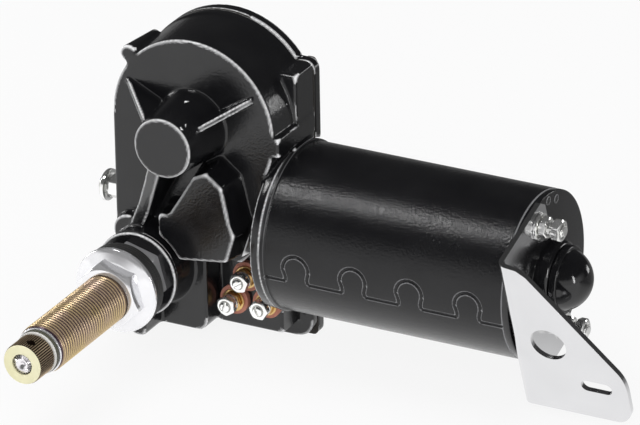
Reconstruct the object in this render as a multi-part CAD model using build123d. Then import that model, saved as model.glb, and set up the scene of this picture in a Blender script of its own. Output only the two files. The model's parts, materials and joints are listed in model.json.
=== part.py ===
"""Heavy-duty wiper motor: worm gearbox with a threaded spindle, tubular motor and end bracket.

Frame: the origin is on the spindle axis, in the middle of its free thread. -Y runs along the
spindle towards its knurled drum, +X along the motor tube, +Z up. Millimetres. The pieces are
laid out from the spindle boss, and moved to that origin as they are written.
"""
from build123d import *
from math import atan2, cos, degrees, hypot, pi, radians, sin, sqrt, tan
import os

# ---------------------------------------------------------------- driving dimensions (mm)
# fits and gaps
running_gap = 0.05            # radial gap of every bush on its shaft
side_gap = 0.3                # gap between faces that turn past each other
bolt_gap = 0.2                # radial gap of a screw in its clearance hole
seat_gap = 0.05               # radial gap of a fixed piece in its bore

# axes and planes
neck_length = 13.5            # back of the spindle boss's rim to the front wall of the gear case
case_depth = 29.0             # front wall to the rear joint face
wheel_x, wheel_z = 17.4, 58.4   # worm wheel axis
motor_y, motor_z = 33.7, 16.4   # motor and worm axis

# gear case
dome_front_radius = 33.8
dome_back_radius = 34.8       # where the drafted wall meets the rear flange
dome_flange_radius = 35.3
flange_thickness = 4.0
case_left_x = -16.5
case_bottom_z = -25.9
chamfer_width, chamfer_height = 12.5, 17.5   # sloping lower left corner
flange_bottom_z = -33.0
flange_corner_radius, cover_corner_radius, lug_corner_radius = 7.0, 2.0, 4.0
box_right_x = 21.6            # right side of the lower front box
box_corner_radius = 4.5
terminal_step_z = 5.6         # underside of the front wall above the terminal step
terminal_step_depth = 11.0
motor_face_x = 51.0           # face of the collar that carries the motor tube
collar_width = 4.0
collar_radius = 32.7
shoulder_x, shoulder_bottom_z, shoulder_top_z = 53.6, 51.6, 59.3   # right end of the front wall
right_x = 53.2                # right side of the lug and the rear flange
lug_left_x, lug_bottom_z, lug_top_z = 42.0, 56.5, 79.0
lug_setback = 15.0            # lug front face behind the front wall
pad_reach = 13.0              # raised pad over the linkage, ahead of the front wall
pad_draft = 7.0               # degrees
pad_corner_radius = 1.5
pad_relief_radius = 19.2      # clearance of the pad round the spindle boss
web_reach = 10.0              # flat web between the pad and the motor collar
gear_boss_reach = 23.9
gear_boss_tip_radius = 11.7
gear_boss_base_radius = 14.1
gusset_thickness = 2.2
gusset_reach = 17.5
gusset_angles = [30.2, 154.0]
spine_width = 5.2
spine_foot = (-8.0, 8.5)
shoulder_boss_place = (-8.9, 11.7)
shoulder_boss_radius = 6.4
shoulder_boss_reach = 4.5
keel_left_x, keel_right_x, keel_bottom_z = -4.0, 2.2, -26.4   # web under the spindle boss
side_boss_place = (-9.7, 82.0)
side_boss_radius, side_boss_end_radius, side_boss_length = 3.4, 1.8, 22.0
spindle_boss_radius = 15.8
spindle_boss_base_radius = 17.4
spindle_rim_radius, spindle_rim_reach, spindle_rim_back = 16.9, 1.6, 1.0

linkage_pocket_x, linkage_pocket_z = (-12.0, 19.0), (-20.0, 3.0)
terminal_pocket_x, terminal_pocket_z = (23.6, 47.2), (-22.0, 2.0)
terminal_wall = 2.5

# rear cover
cover_gasket_thickness = 0.5
cover_thickness = 5.5
cover_notch_gap = 0.5
cover_edge = 0.8
cover_flat_distance, cover_flat_angle = 32.9, 54.5   # flat at the cover's upper right, from the wheel axis
bearing_boss_radius = 12.5
bearing_boss_height = 4.5
cover_screw_places = [(47.9, 75.0), (47.0, -28.0), (21.5, -28.6), (-3.5, -28.0), (-13.6, 29.0)]
cover_screw_radius = 1.6
cover_screw_length = 9.0
cover_screw_flats = 5.0
cover_screw_head_radius = 2.9
cover_screw_head = 2.8

# spindle
bushing_radius = 9.525        # 3/4 in thread, major radius
bushing_reach = 72.9          # thread length ahead of the spindle boss
bushing_tip_edge = 1.2
bushing_neck_radius = 9.1     # under the nuts and in the case
thread_runout = 0.5
bushing_bore_radius = 6.2
bushing_flange_radius = 11.0
bushing_flange_thickness = 2.0
bush_length = 15.0
shaft_radius = 4.75
shaft_tip_radius = 3.9
seal_cap_thickness = 0.7
shaft_seal_thickness = 1.0
drum_washer_thickness = 0.9
drum_length = 10.5
drum_radius = 7.95
drum_hole_radius = 1.6
drum_hole_angle = 13.0        # degrees from +Z towards +X
nut_flange_radius = 16.9
nut_flange_thickness = 1.6
nut_across_flats = 23.6
nut_turn = 45.0
nut_height = 9.4
bulkhead_gasket_thickness = 6.1
bulkhead_gasket_radius = 16.4
thrust_washer_thickness = 0.6

# gears and linkage
module_ = 1.45
addendum_ratio, dedendum_ratio = 0.7, 1.0   # stub teeth
wheel_phase = 0.25            # puts a tooth between two threads of the worm, in tooth pitches
wheel_teeth = 43
wheel_width = 7.0
pressure_angle = 20.0
tooth_thinning = 0.8          # backlash taken off each wheel tooth at the pitch line
worm_turns = 4                # turns of full thread, with one pitch of plain sleeve at each end
worm_shaft_radius = 5.5
wheel_space_gap = 0.4         # case wall to the tips of the wheel teeth
worm_space_gap = 0.8
crank_throw = 9.3
crank_rest_angle = -4.0       # degrees above +X
crank_pin_radius = 4.0
crank_plate_radius = 15.0
rocker_throw = 14.4
rocker_rest_angle = -8.0
rocker_pin_radius = 2.6
rocker_eye_radius = 4.9
rocker_hub_radius = 9.0
lever_thickness = 2.4
rocker_setback = 2.8          # rocker front face behind the front wall
lever_gap = 0.4               # between the rocker and the link
link_thickness = 2.4
link_neck_radius = 5.2
link_bush_wall = 1.4
link_eye_radius = 7.4
link_foot_radius = 4.9
front_journal_radius = 5.0
rear_journal_radius = 6.0
bush_wall = 1.6

# motor
tube_radius = 32.2
tube_wall = 2.2
tube_lip_radius = 32.9
tube_lip_width = 1.8
tube_length = 100.0
magnet_inset = 29.0           # collar face to the magnets
magnet_end_gap = 13.0         # magnets to the end cap
core_inset = 6.0              # core shorter than the magnets at each end
magnet_thickness = 5.6
magnet_arc = 128.0
air_gap = 1.0
winding_length = 9.0
commutator_radius = 10.0
commutator_inset, commutator_length = 9.0, 14.0
brush_card_thickness = 1.8
brush_angles = [112.0, 292.0, 52.0]
nose_radius = 4.0
tail_radius = 4.0
drive_bearing_radius = 14.0
drive_bearing_width = 8.0
drive_bearing_bore = 6.0
end_cap_rim = 2.4
end_boss_radius = 14.2
end_boss_length = 9.0
rear_bearing_radius = 9.0
rear_bearing_gap = 0.5
dome_skirt_radius = 13.0
dome_skirt_width = 3.0
dome_radius = 12.1
dome_inset = 0.6              # centre of the dome inside the end boss
dome_wall = 2.0
tie_bolt_circle = 26.2
tie_bolt_angles = [22.0, 202.0]
tie_bolt_radius = 2.4
tie_bolt_reach = 10.6         # thread end past the bracket
tie_washer_radius, tie_washer_thickness = 5.4, 1.0
tie_nut_flats = 8.0
tie_nut_places = [(0.0, 3.2), (5.0, 3.6)]    # (distance from the washer, height)

# bracket
bracket_tilt = 18.9           # degrees that the bracket is turned about the motor axis
sheet = 2.0
bend_radius = 1.5             # inside the bend
foot_distance = 32.5          # motor axis to the front face of the bracket foot
foot_half_height = 34.2
foot_reach = 44.9
foot_hole_radius = 7.1
foot_hole_place = (13.5, 1.4)
foot_slot_place = (30.3, 18.6)
foot_slot_length, foot_slot_width = 12.5, 5.0

# thrust screw
thrust_screw_radius = 3.0
thrust_head_radius = 6.2
thrust_head_x = -34.0
thrust_head_length = 4.0
thrust_ball_radius = 1.8

# terminals
terminal_places = [(34.0, -4.1), (28.4, -14.7), (42.3, -13.6)]
stud_radius = 2.0
insulator_neck_radius = 2.9
inner_washer_thickness = 1.0
stud_head_radius, stud_head_thickness = 4.2, 2.5
terminal_spot_radius = 6.4
fibre_washer_radius = 5.9
fibre_washer_thickness = 2.0
terminal_nut_flats = 7.0
terminal_jam_height = 2.2
terminal_nut_height = 3.2
brass_washer_radius, brass_washer_thickness = 4.5, 0.9
lock_washer_radius, lock_washer_thickness = 3.5, 1.0
stud_protrusion = 1.2

# ---------------------------------------------------------------- derived planes and places
tube_end_x = motor_face_x + tube_length
worm_pitch = pi * module_
wheel_pitch_radius = module_ * wheel_teeth / 2
wheel_outer_radius = wheel_pitch_radius + addendum_ratio * module_
wheel_root_radius = wheel_pitch_radius - dedendum_ratio * module_
worm_pitch_radius = wheel_z - motor_z - wheel_pitch_radius
worm_outer_radius = worm_pitch_radius + addendum_ratio * module_
worm_root_radius = worm_pitch_radius - dedendum_ratio * module_
worm_length = (worm_turns + 2) * worm_pitch
worm_start_x = wheel_x - worm_length / 2
front_y = neck_length
joint_y = front_y + case_depth
cover_y = joint_y + cover_gasket_thickness
cover_back_y = cover_y + cover_thickness
flange_y = joint_y - flange_thickness
flange_left_x = wheel_x - dome_flange_radius
terminal_y = front_y + terminal_step_depth
pad_y = front_y - pad_reach
rocker_y = front_y + rocker_setback
shaft_back_y = rocker_y + lever_thickness
link_y = shaft_back_y + lever_gap
link_back_y = link_y + link_thickness
wheel_y = motor_y - wheel_width / 2
wheel_back_y = wheel_y + wheel_width
wheel_space_radius = wheel_outer_radius + wheel_space_gap
worm_space_radius = worm_outer_radius + worm_space_gap
gear_boss_y = front_y - gear_boss_reach
collar_start_x = motor_face_x - collar_width
leg_x = tube_end_x + end_cap_rim
foot_x = leg_x + sheet
bearing_x = motor_face_x - 3.0
bearing_end_x = bearing_x + drive_bearing_width
tube_bore = tube_radius - tube_wall
magnet_start_x = motor_face_x + magnet_inset
magnet_length = tube_end_x - magnet_end_gap - magnet_start_x
core_start_x = magnet_start_x + core_inset
core_length = magnet_length - 2 * core_inset
core_radius = tube_bore - magnet_thickness - air_gap
commutator_start_x = motor_face_x + commutator_inset
brush_plane_x = commutator_start_x + commutator_length / 2
brush_card_x = commutator_start_x + commutator_length - 0.6
end_boss_end_x = tube_end_x + end_boss_length
dome_skirt_end_x = end_boss_end_x + dome_skirt_width
dome_centre_x = end_boss_end_x - dome_inset
outer_nut_y = -nut_height - bulkhead_gasket_thickness
neck_end_y = outer_nut_y - nut_height - thread_runout
origin_y = (neck_end_y - bushing_reach + bushing_tip_edge) / 2    # middle of the free thread
seal_cap_y = -bushing_reach - side_gap - seal_cap_thickness
shaft_seal_y = seal_cap_y - side_gap - shaft_seal_thickness
drum_back_y = shaft_seal_y - side_gap - drum_washer_thickness
drum_front_y = drum_back_y - drum_length
nose_bush_x = -12.0
nose_bush_length = 8.0
crank_pin_x = wheel_x + crank_throw * cos(radians(crank_rest_angle))
crank_pin_z = wheel_z + crank_throw * sin(radians(crank_rest_angle))
rocker_pin_x = rocker_throw * cos(radians(rocker_rest_angle))
rocker_pin_z = rocker_throw * sin(radians(rocker_rest_angle))


# ---------------------------------------------------------------- helpers
def rod_x(radius, x0, x1, y=motor_y, z=motor_z):
    """Cylinder along X."""
    return Pos((x0 + x1) / 2, y, z) * Rot(0, 90, 0) * Cylinder(radius, x1 - x0)


def rod_y(radius, y0, y1, x=0.0, z=0.0):
    """Cylinder along Y."""
    return Pos(x, (y0 + y1) / 2, z) * Rot(90, 0, 0) * Cylinder(radius, y1 - y0)


def box(x0, x1, y0, y1, z0, z1):
    return Pos((x0 + x1) / 2, (y0 + y1) / 2, (z0 + z1) / 2) * Box(x1 - x0, y1 - y0, z1 - z0)


def slab(points, y0, y1):
    """Polygon given as (x, z) points, filled from y0 to y1."""
    face = Plane.XZ * make_face(Polyline(*points, close=True))
    return Pos(0, y1, 0) * extrude(face, amount=y1 - y0)


def cone_y(r0, r1, y0, y1, x, z):
    """Cone along Y with radius r0 at y0 and r1 at y1."""
    return Pos(x, (y0 + y1) / 2, z) * Rot(-90, 0, 0) * Cone(r0, r1, y1 - y0)


def cone_x(r0, r1, x0, x1, y=motor_y, z=motor_z):
    """Cone along X with radius r0 at x0 and r1 at x1."""
    return Pos((x0 + x1) / 2, y, z) * Rot(0, 90, 0) * Cone(r0, r1, x1 - x0)


def ring_y(outer, inner, y0, y1, x=0.0, z=0.0):
    return rod_y(outer, y0, y1, x, z) - rod_y(inner, y0, y1, x, z)


def ring_x(outer, inner, x0, x1, y=motor_y, z=motor_z):
    return rod_x(outer, x0, x1, y, z) - rod_x(inner, x0, x1, y, z)


def hexagon_y(flats, y0, y1, x=0.0, z=0.0, turn=0.0):
    """Hexagonal bar along Y with a corner at the angle turn."""
    face = Plane.XZ * Rot(0, 0, turn) * RegularPolygon(flats / sqrt(3), 6)
    return Pos(x, y1, z) * extrude(face, amount=y1 - y0)


def hexagon_x(flats, x0, x1, y=motor_y, z=motor_z):
    face = Plane.YZ * RegularPolygon(flats / sqrt(3), 6)
    return Pos(x0, y, z) * extrude(face, amount=x1 - x0)


def motor_polar(radius, angle):
    """Point at an angle from +Z towards the front, seen about the motor axis, as (y, z)."""
    return motor_y - radius * sin(radians(angle)), motor_z + radius * cos(radians(angle))


def around_motor(shape, angle):
    """Turn a shape about the motor axis by an angle from +Z towards the front."""
    return Pos(0, motor_y, motor_z) * Rot(angle, 0, 0) * Pos(0, -motor_y, -motor_z) * shape


def link_shape(radius_a, radius_b, xa, za, xb, zb, y0, y1):
    """Two round ends joined by their outer tangents."""
    span = hypot(xb - xa, zb - za)
    heading = atan2(zb - za, xb - xa)
    lean = degrees(atan2(radius_a - radius_b, sqrt(span**2 - (radius_a - radius_b) ** 2)))
    sides = []
    for x, z, r, side in [(xa, za, radius_a, 1), (xb, zb, radius_b, 1), (xb, zb, radius_b, -1),
                          (xa, za, radius_a, -1)]:
        angle = heading + side * radians(90 - lean)
        sides.append((x + r * cos(angle), z + r * sin(angle)))
    return rod_y(radius_a, y0, y1, xa, za) + rod_y(radius_b, y0, y1, xb, zb) + slab(sides, y0, y1)


def one(shapes):
    """Group of separate solids in one node."""
    solids = []
    for shape in shapes:
        solids += list(shape.solids())
    return Compound(solids)


# ---------------------------------------------------------------- gear case
pad_outline = [(24.0, 43.6), (29.4, 46.2), (36.0, 41.1), (39.0, 27.0), (40.9, 22.6), (37.4, 11.4),
               (17.0, 8.6),
               (9.0, 16.0), (8.9, 25.8), (13.4, 26.4), (18.7, 34.8)]
web_outline = [(41.8, 13.1), (collar_start_x, 16.6), (collar_start_x, 27.0), (46.3, 26.1)]


def case_outline():
    """Outer form of the front box and the dome."""
    dome = cone_y(dome_front_radius, dome_back_radius, front_y, flange_y, wheel_x, wheel_z)
    left = case_left_x
    low = case_bottom_z
    front_box = slab([(left, wheel_z), (left, low + chamfer_height), (left + chamfer_width, low),
                      (box_right_x, low), (box_right_x, wheel_z)], front_y, joint_y)
    corner = front_box.edges().filter_by(Axis.Y).sort_by_distance((box_right_x, motor_y, low))[0]
    front_box = fillet(corner, box_corner_radius)
    bridge = slab([(box_right_x - 1, terminal_step_z), (36.5, terminal_step_z), (collar_start_x, motor_z),
                   (collar_start_x, shoulder_bottom_z), (shoulder_x, shoulder_bottom_z),
                   (shoulder_x, shoulder_top_z),
                   (box_right_x - 1, shoulder_top_z)], front_y, joint_y)
    step = box(box_right_x - 1, collar_start_x + 1, terminal_y, joint_y, case_bottom_z, terminal_step_z + 1)
    return dome + front_box + bridge + step


def flange_profile():
    """Corner points of the lower part of the rear flange and the cover."""
    slope = flange_bottom_z
    return [(flange_left_x, wheel_z), (flange_left_x, case_bottom_z + chamfer_height), (-6.0, slope),
            (right_x, slope), (right_x, wheel_z)]


def flange_body(y0, y1, corner_radius):
    body = rod_y(dome_flange_radius, y0, y1, wheel_x, wheel_z) + slab(flange_profile(), y0, y1)
    body += box(lug_left_x - 8, right_x, y0, y1, wheel_z - 2, lug_top_z)
    lower_right = body.edges().filter_by(Axis.Y).sort_by_distance((right_x, (y0 + y1) / 2,
                                                                   flange_bottom_z))[0]
    body = fillet(lower_right, corner_radius)
    upper_right = body.edges().filter_by(Axis.Y).sort_by_distance((right_x, (y0 + y1) / 2, lug_top_z))[0]
    return fillet(upper_right, lug_corner_radius)


def front_bosses():
    """Spindle boss, tapered gear boss, the spine between them and the two gussets."""
    taper_y = front_y - 8.0
    spindle = rod_y(spindle_boss_radius, 0, front_y)
    spindle += rod_y(spindle_rim_radius, -spindle_rim_reach, spindle_rim_back)
    spindle += cone_y(spindle_boss_radius, spindle_boss_base_radius, taper_y, front_y + 1, 0, 0)
    gear = cone_y(gear_boss_tip_radius, gear_boss_base_radius, gear_boss_y, front_y + 1, wheel_x, wheel_z)
    shoulder = rod_y(shoulder_boss_radius, front_y - shoulder_boss_reach, front_y + 1, *shoulder_boss_place)
    keel = box(keel_left_x, keel_right_x, spindle_rim_back - 0.5, front_y + 1, keel_bottom_z, -5)
    lower_edges = keel.edges().filter_by(Axis.Y).group_by(Axis.Z)[0]
    keel = fillet(lower_edges, 2.0)
    heading = degrees(atan2(spine_foot[1] - wheel_z, spine_foot[0] - wheel_x))
    length = hypot(spine_foot[0] - wheel_x, spine_foot[1] - wheel_z)
    spine_points = [(0, front_y + 1), (length, front_y + 1), (length, front_y - shoulder_boss_reach),
                    (length - 4, front_y - shoulder_boss_reach - 1), (length * 0.67, front_y - 9),
                    (gear_boss_tip_radius, front_y - 21), (0, front_y - 21)]
    spine = radial_web(spine_points, spine_width, heading)
    webs = spindle + gear + shoulder + keel + spine
    for angle in gusset_angles:
        foot = dome_front_radius - 2.6
        points = [(0, front_y + 1), (foot, front_y + 1), (foot, front_y),
                  (gear_boss_tip_radius, front_y - gusset_reach),
                  (0, front_y - gusset_reach)]
        webs += radial_web(points, gusset_thickness, angle)
    return webs


def linkage_pad():
    """Drafted pad over the linkage, cleared round the spindle boss, and the web to the motor collar."""
    face = make_face(Polyline(*pad_outline, close=True)) - Circle(pad_relief_radius)
    face = fillet(face.vertices(), pad_corner_radius)
    face = Plane(origin=(0, pad_y, 0), x_dir=(1, 0, 0), z_dir=(0, -1, 0)) * face
    pad = extrude(face, amount=pad_reach + 0.5, dir=(0, 1, 0), taper=-pad_draft)
    return pad + slab(web_outline, front_y - web_reach, front_y + 0.5)


def radial_web(points, thickness, heading):
    """Web of (distance from the wheel axis, y) points, standing at a heading in the X-Z plane."""
    face = make_face(Polyline(*points, close=True))
    web = Pos(0, 0, -thickness / 2) * extrude(face, amount=thickness)
    return Pos(wheel_x, 0, wheel_z) * Rot(0, -heading, 0) * web


def joint_windows(y0, y1):
    """Openings in the rear joint plane."""
    windows = rod_y(wheel_space_radius, y0, y1, wheel_x, wheel_z)
    windows += box(*linkage_pocket_x, y0, y1, *linkage_pocket_z) + box(*terminal_pocket_x, y0, y1,
                                                                       *terminal_pocket_z)
    return windows + box(linkage_pocket_x[0], collar_start_x - 4, y0, y1, linkage_pocket_z[1] - 1,
                         motor_z + worm_space_radius)


def case_spaces():
    """Hollows of the gear case."""
    spaces = rod_y(wheel_space_radius, wheel_y - wheel_space_gap * 2, joint_y + 1, wheel_x, wheel_z)
    spaces += rod_x(worm_space_radius, nose_bush_x + nose_bush_length, bearing_x + 1)
    crank_space = crank_plate_radius + wheel_space_gap * 2
    spaces += rod_y(crank_space, rocker_y - side_gap, wheel_y, wheel_x, wheel_z)
    spaces += rod_y(crank_throw + link_eye_radius + 0.8, link_y - side_gap, link_back_y + 0.6, wheel_x,
                    wheel_z)
    foot_x0 = wheel_x + (rocker_pin_x - crank_pin_x)
    foot_z0 = wheel_z + (rocker_pin_z - crank_pin_z)
    swing = crank_throw + link_foot_radius + 0.4
    spaces += link_shape(swing, swing, foot_x0, foot_z0, wheel_x, wheel_z, shaft_back_y - 0.1,
                         link_back_y + 0.6)
    reach = rocker_throw + rocker_eye_radius + 0.5
    sector = rod_y(reach, rocker_y - side_gap, link_y) & box(-2, reach, 0, joint_y, -reach, reach)
    spaces += sector + rod_y(rocker_hub_radius + 1.2, rocker_y - side_gap, link_y + 1.6)
    spaces += box(*linkage_pocket_x, link_back_y + 0.2, joint_y + 1, *linkage_pocket_z)
    spaces += box(*terminal_pocket_x, terminal_y + terminal_wall, joint_y + 1, *terminal_pocket_z)
    spaces += box(44, motor_face_x + 1, terminal_y + 4.5, terminal_y + 12.5, -13, -6)
    return spaces


def gear_housing():
    body = case_outline()
    body += flange_body(flange_y, joint_y, flange_corner_radius)
    lug_y = front_y + lug_setback
    lug = box(lug_left_x, right_x, lug_y, joint_y, lug_bottom_z, lug_top_z)
    corner = lug.edges().filter_by(Axis.X).sort_by_distance((lug_left_x, lug_y, lug_top_z))[0]
    body += fillet(corner, 2.0)
    body += box(collar_start_x - 5, right_x, front_y + 13.5, joint_y, motor_z + 20, lug_bottom_z)
    body -= rod_x(tube_lip_radius + seat_gap, motor_face_x, motor_face_x + 20)
    body += rod_x(collar_radius, collar_start_x, motor_face_x)
    body += front_bosses() + linkage_pad()
    side_boss_y = front_y + 0.5
    body += cone_y(side_boss_radius, side_boss_end_radius, side_boss_y, side_boss_y + side_boss_length,
                   *side_boss_place)
    body += rod_x(17.0, motor_face_x - 1, bearing_end_x + 0.5)
    for angle in tie_bolt_angles:
        y, z = motor_polar(tie_bolt_circle, angle)
        body += rod_x(5.0, motor_face_x - 1, motor_face_x + 6, y, z) & rod_x(tube_bore - 0.2, 40, 70)
    for x, z in terminal_places:
        body -= rod_y(terminal_spot_radius, -5, terminal_y, x, z)
        body -= rod_y(insulator_neck_radius + seat_gap, terminal_y - 1, terminal_y + terminal_wall + 1, x,
                      z)
    body -= case_spaces()
    body -= rod_y(bushing_neck_radius + seat_gap, -spindle_rim_reach - 1, rocker_y)
    body -= rod_y(bushing_flange_radius + seat_gap, front_y, rocker_y)
    bush_radius = front_journal_radius + running_gap + bush_wall
    body -= rod_y(bush_radius, gear_boss_y + 4, rocker_y, wheel_x, wheel_z)
    body -= rod_x(nose_radius + running_gap + bush_wall, nose_bush_x, nose_bush_x + nose_bush_length)
    body -= rod_x(thrust_ball_radius + seat_gap, nose_bush_x - 3.6, nose_bush_x)
    body -= rod_x(thrust_screw_radius, case_left_x - 9, nose_bush_x - 3.6)
    body -= rod_x(drive_bearing_radius, bearing_x, bearing_end_x + 1)
    for x, z in cover_screw_places:
        body -= rod_y(cover_screw_radius, cover_back_y - cover_screw_length - 0.4, joint_y + 1, x, z)
    for angle in tie_bolt_angles:
        y, z = motor_polar(tie_bolt_circle, angle)
        body -= rod_x(tie_bolt_radius, collar_start_x + 0.8, motor_face_x + 8, y, z)
    return body


# ---------------------------------------------------------------- rear cover
def cover_blank(y0, y1, edge=0.0):
    """Plate of the cover's outline, with its back edge broken, the collar's notch and the screw holes."""
    flat = box(cover_flat_distance, 60, y0 - 1, y1 + 1, -30, 30)
    flat = Pos(wheel_x, 0, wheel_z) * Rot(0, -cover_flat_angle, 0) * flat
    body = flange_body(y0, y1, cover_corner_radius) - (flat & box(0, 90, y0 - 1, y1 + 1, lug_top_z, 120))
    if edge:
        back = body.faces().sort_by(Axis.Y)[-1]
        body = chamfer(back.outer_wire().edges(), edge)
    notch = collar_radius + cover_notch_gap
    body -= rod_x(notch, collar_start_x - cover_notch_gap, right_x + 10)
    for x, z in cover_screw_places:
        body -= rod_y(cover_screw_radius + bolt_gap, y0 - 1, y1 + 1, x, z)
    return body


def rear_cover():
    body = cover_blank(cover_y, cover_back_y, cover_edge)
    body += rod_y(bearing_boss_radius, wheel_back_y + 1.4, cover_back_y, wheel_x, wheel_z)
    body += cone_y(bearing_boss_radius, bearing_boss_radius - 1.5, cover_back_y,
                   cover_back_y + bearing_boss_height, wheel_x, wheel_z)
    for spoke in range(6):
        face_points = [(bearing_boss_radius - 3, cover_back_y - 1),
                       (dome_flange_radius - 5, cover_back_y - 1),
                       (dome_flange_radius - 5, cover_back_y + 0.6),
                       (bearing_boss_radius - 3, cover_back_y + bearing_boss_height - 1)]
        body += radial_web(face_points, 2.4, 60 * spoke)
    bush_radius = rear_journal_radius + running_gap + bush_wall
    body -= rod_y(bush_radius, wheel_back_y, cover_back_y, wheel_x, wheel_z)
    body -= rod_x(worm_space_radius, nose_bush_x + nose_bush_length, collar_start_x - 4)
    return body


def cover_gasket():
    body = cover_blank(joint_y, cover_y) - joint_windows(joint_y, cover_y)
    return body.solids().sort_by(SortBy.VOLUME)[-1]


def cover_screws():
    screws = []
    for x, z in cover_screw_places:
        screw = rod_y(cover_screw_radius, cover_back_y - cover_screw_length, cover_back_y, x, z)
        screw += rod_y(cover_screw_head_radius, cover_back_y, cover_back_y + 0.9, x, z)
        screws.append(screw + hexagon_y(cover_screw_flats, cover_back_y, cover_back_y + cover_screw_head, x,
                                        z))
    return one(screws)


# ---------------------------------------------------------------- spindle
def spindle_bushing():
    body = rod_y(bushing_radius, -bushing_reach, neck_end_y)
    tip = body.edges().filter_by(GeomType.CIRCLE).sort_by(Axis.Y)[0]
    body = chamfer(tip, bushing_tip_edge)
    body += rod_y(bushing_neck_radius, neck_end_y, front_y + 0.5)
    body += rod_y(bushing_flange_radius, front_y, front_y + bushing_flange_thickness)
    return body - rod_y(bushing_bore_radius, -bushing_reach - 1, front_y + 5)


def front_bush():
    return ring_y(bushing_bore_radius, shaft_radius + running_gap, -bushing_reach + 1,
                  -bushing_reach + 1 + bush_length)


def rear_bush():
    end = front_y + bushing_flange_thickness
    return ring_y(bushing_bore_radius, shaft_radius + running_gap, end - bush_length, end)


def nut_blank(y0, y1):
    """Hexagon with the corners of its front cut back by a cone."""
    crown = nut_across_flats / 2 + 0.2
    return hexagon_y(nut_across_flats, y0, y1, turn=nut_turn) & cone_y(crown, crown + y1 - y0, y0, y1, 0, 0)


def inner_mounting_nut():
    """Plain nut against the spindle boss's rim."""
    body = nut_blank(-nut_height, -spindle_rim_reach)
    return body - rod_y(bushing_neck_radius + seat_gap, -nut_height - 1, 0)


def outer_mounting_nut():
    """Flange nut on the spindle thread, against the gasket."""
    y_flange = outer_nut_y - nut_flange_thickness
    body = nut_blank(outer_nut_y - nut_height, outer_nut_y)
    body += cone_y(nut_flange_radius - 2.2, nut_flange_radius, y_flange - 1.2, y_flange, 0, 0)
    body += rod_y(nut_flange_radius, y_flange, outer_nut_y)
    return body - rod_y(bushing_neck_radius + seat_gap, outer_nut_y - nut_height - 1, outer_nut_y + 1)


def bulkhead_gasket():
    y1 = -nut_height
    body = ring_y(bulkhead_gasket_radius, bushing_neck_radius + seat_gap, y1 - bulkhead_gasket_thickness,
                  y1)
    for k in range(3):
        y = y1 - bulkhead_gasket_thickness * (k + 1) / 4
        body -= ring_y(bulkhead_gasket_radius + 1, bulkhead_gasket_radius - 0.6, y - 0.35, y + 0.35)
    return body


def output_shaft():
    """Spindle shaft with a thinner serrated seat inside the drum."""
    body = rod_y(shaft_radius, drum_back_y, shaft_back_y)
    return body + rod_y(shaft_tip_radius, drum_front_y, drum_back_y + 1)


def knurled_drum():
    body = ring_y(drum_radius, shaft_tip_radius, drum_front_y + 0.3, drum_back_y)
    edges = body.edges().filter_by(GeomType.CIRCLE).filter_by(lambda e: abs(e.radius - drum_radius) < 0.01)
    body = chamfer(edges, 0.5)
    middle = drum_front_y + drum_length / 2
    upwards = (Align.CENTER, Align.CENTER, Align.MIN)
    hole = Rot(0, drum_hole_angle, 0) * Pos(0, 0, shaft_tip_radius + 1.5) * Cylinder(drum_hole_radius,
                                                                                     drum_radius,
                                                                                     align=upwards)
    return body - Pos(0, middle, 0) * hole


def shaft_ring(radius, y0, y1):
    return ring_y(radius, shaft_radius + running_gap, y0, y1)


def thrust_washer():
    y0 = front_y + bushing_flange_thickness + 0.1
    return ring_y(rocker_hub_radius, shaft_radius + running_gap, y0, y0 + thrust_washer_thickness)


def rocker_lever():
    body = link_shape(rocker_hub_radius, rocker_eye_radius, 0, 0, rocker_pin_x, rocker_pin_z, rocker_y,
                      shaft_back_y)
    body -= rod_y(shaft_radius, rocker_y, shaft_back_y)
    return body - rod_y(rocker_pin_radius, rocker_y, shaft_back_y, rocker_pin_x, rocker_pin_z)


def rocker_pin():
    return rod_y(rocker_pin_radius, rocker_y, shaft_back_y, rocker_pin_x, rocker_pin_z)


# ---------------------------------------------------------------- link and crank
def connecting_link():
    eye = (crank_pin_x, crank_pin_z)
    foot = (rocker_pin_x, rocker_pin_z)
    body = link_shape(link_neck_radius, link_foot_radius, *eye, *foot, link_y, link_back_y)
    body += rod_y(link_eye_radius, link_y, link_back_y, *eye)
    body -= rod_y(crank_pin_radius + running_gap + link_bush_wall, link_y, link_back_y, *eye)
    return body - rod_y(rocker_pin_radius + running_gap, link_y, link_back_y, *foot)


def link_bush():
    outer = crank_pin_radius + running_gap + link_bush_wall
    return ring_y(outer, crank_pin_radius + running_gap, link_y, link_back_y, crank_pin_x, crank_pin_z)


def crank_pin():
    return rod_y(crank_pin_radius, rocker_y, wheel_y + wheel_width / 2, crank_pin_x, crank_pin_z)


def crank_plate():
    """Round web with the front journal; the crank pin is pressed into it."""
    body = rod_y(crank_plate_radius, rocker_y, shaft_back_y, wheel_x, wheel_z)
    body += rod_y(front_journal_radius, gear_boss_y + 4.6, rocker_y, wheel_x, wheel_z)
    return body - rod_y(crank_pin_radius, rocker_y - 1, rocker_y + 5, crank_pin_x, crank_pin_z)


def flank_angle(radius):
    """Angle in radians from a wheel tooth's centre line to its flank at a radius."""
    half = (pi * module_ / 2 - tooth_thinning) / 2 - (radius
                                                      - wheel_pitch_radius) * tan(radians(pressure_angle))
    return half / radius


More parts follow.
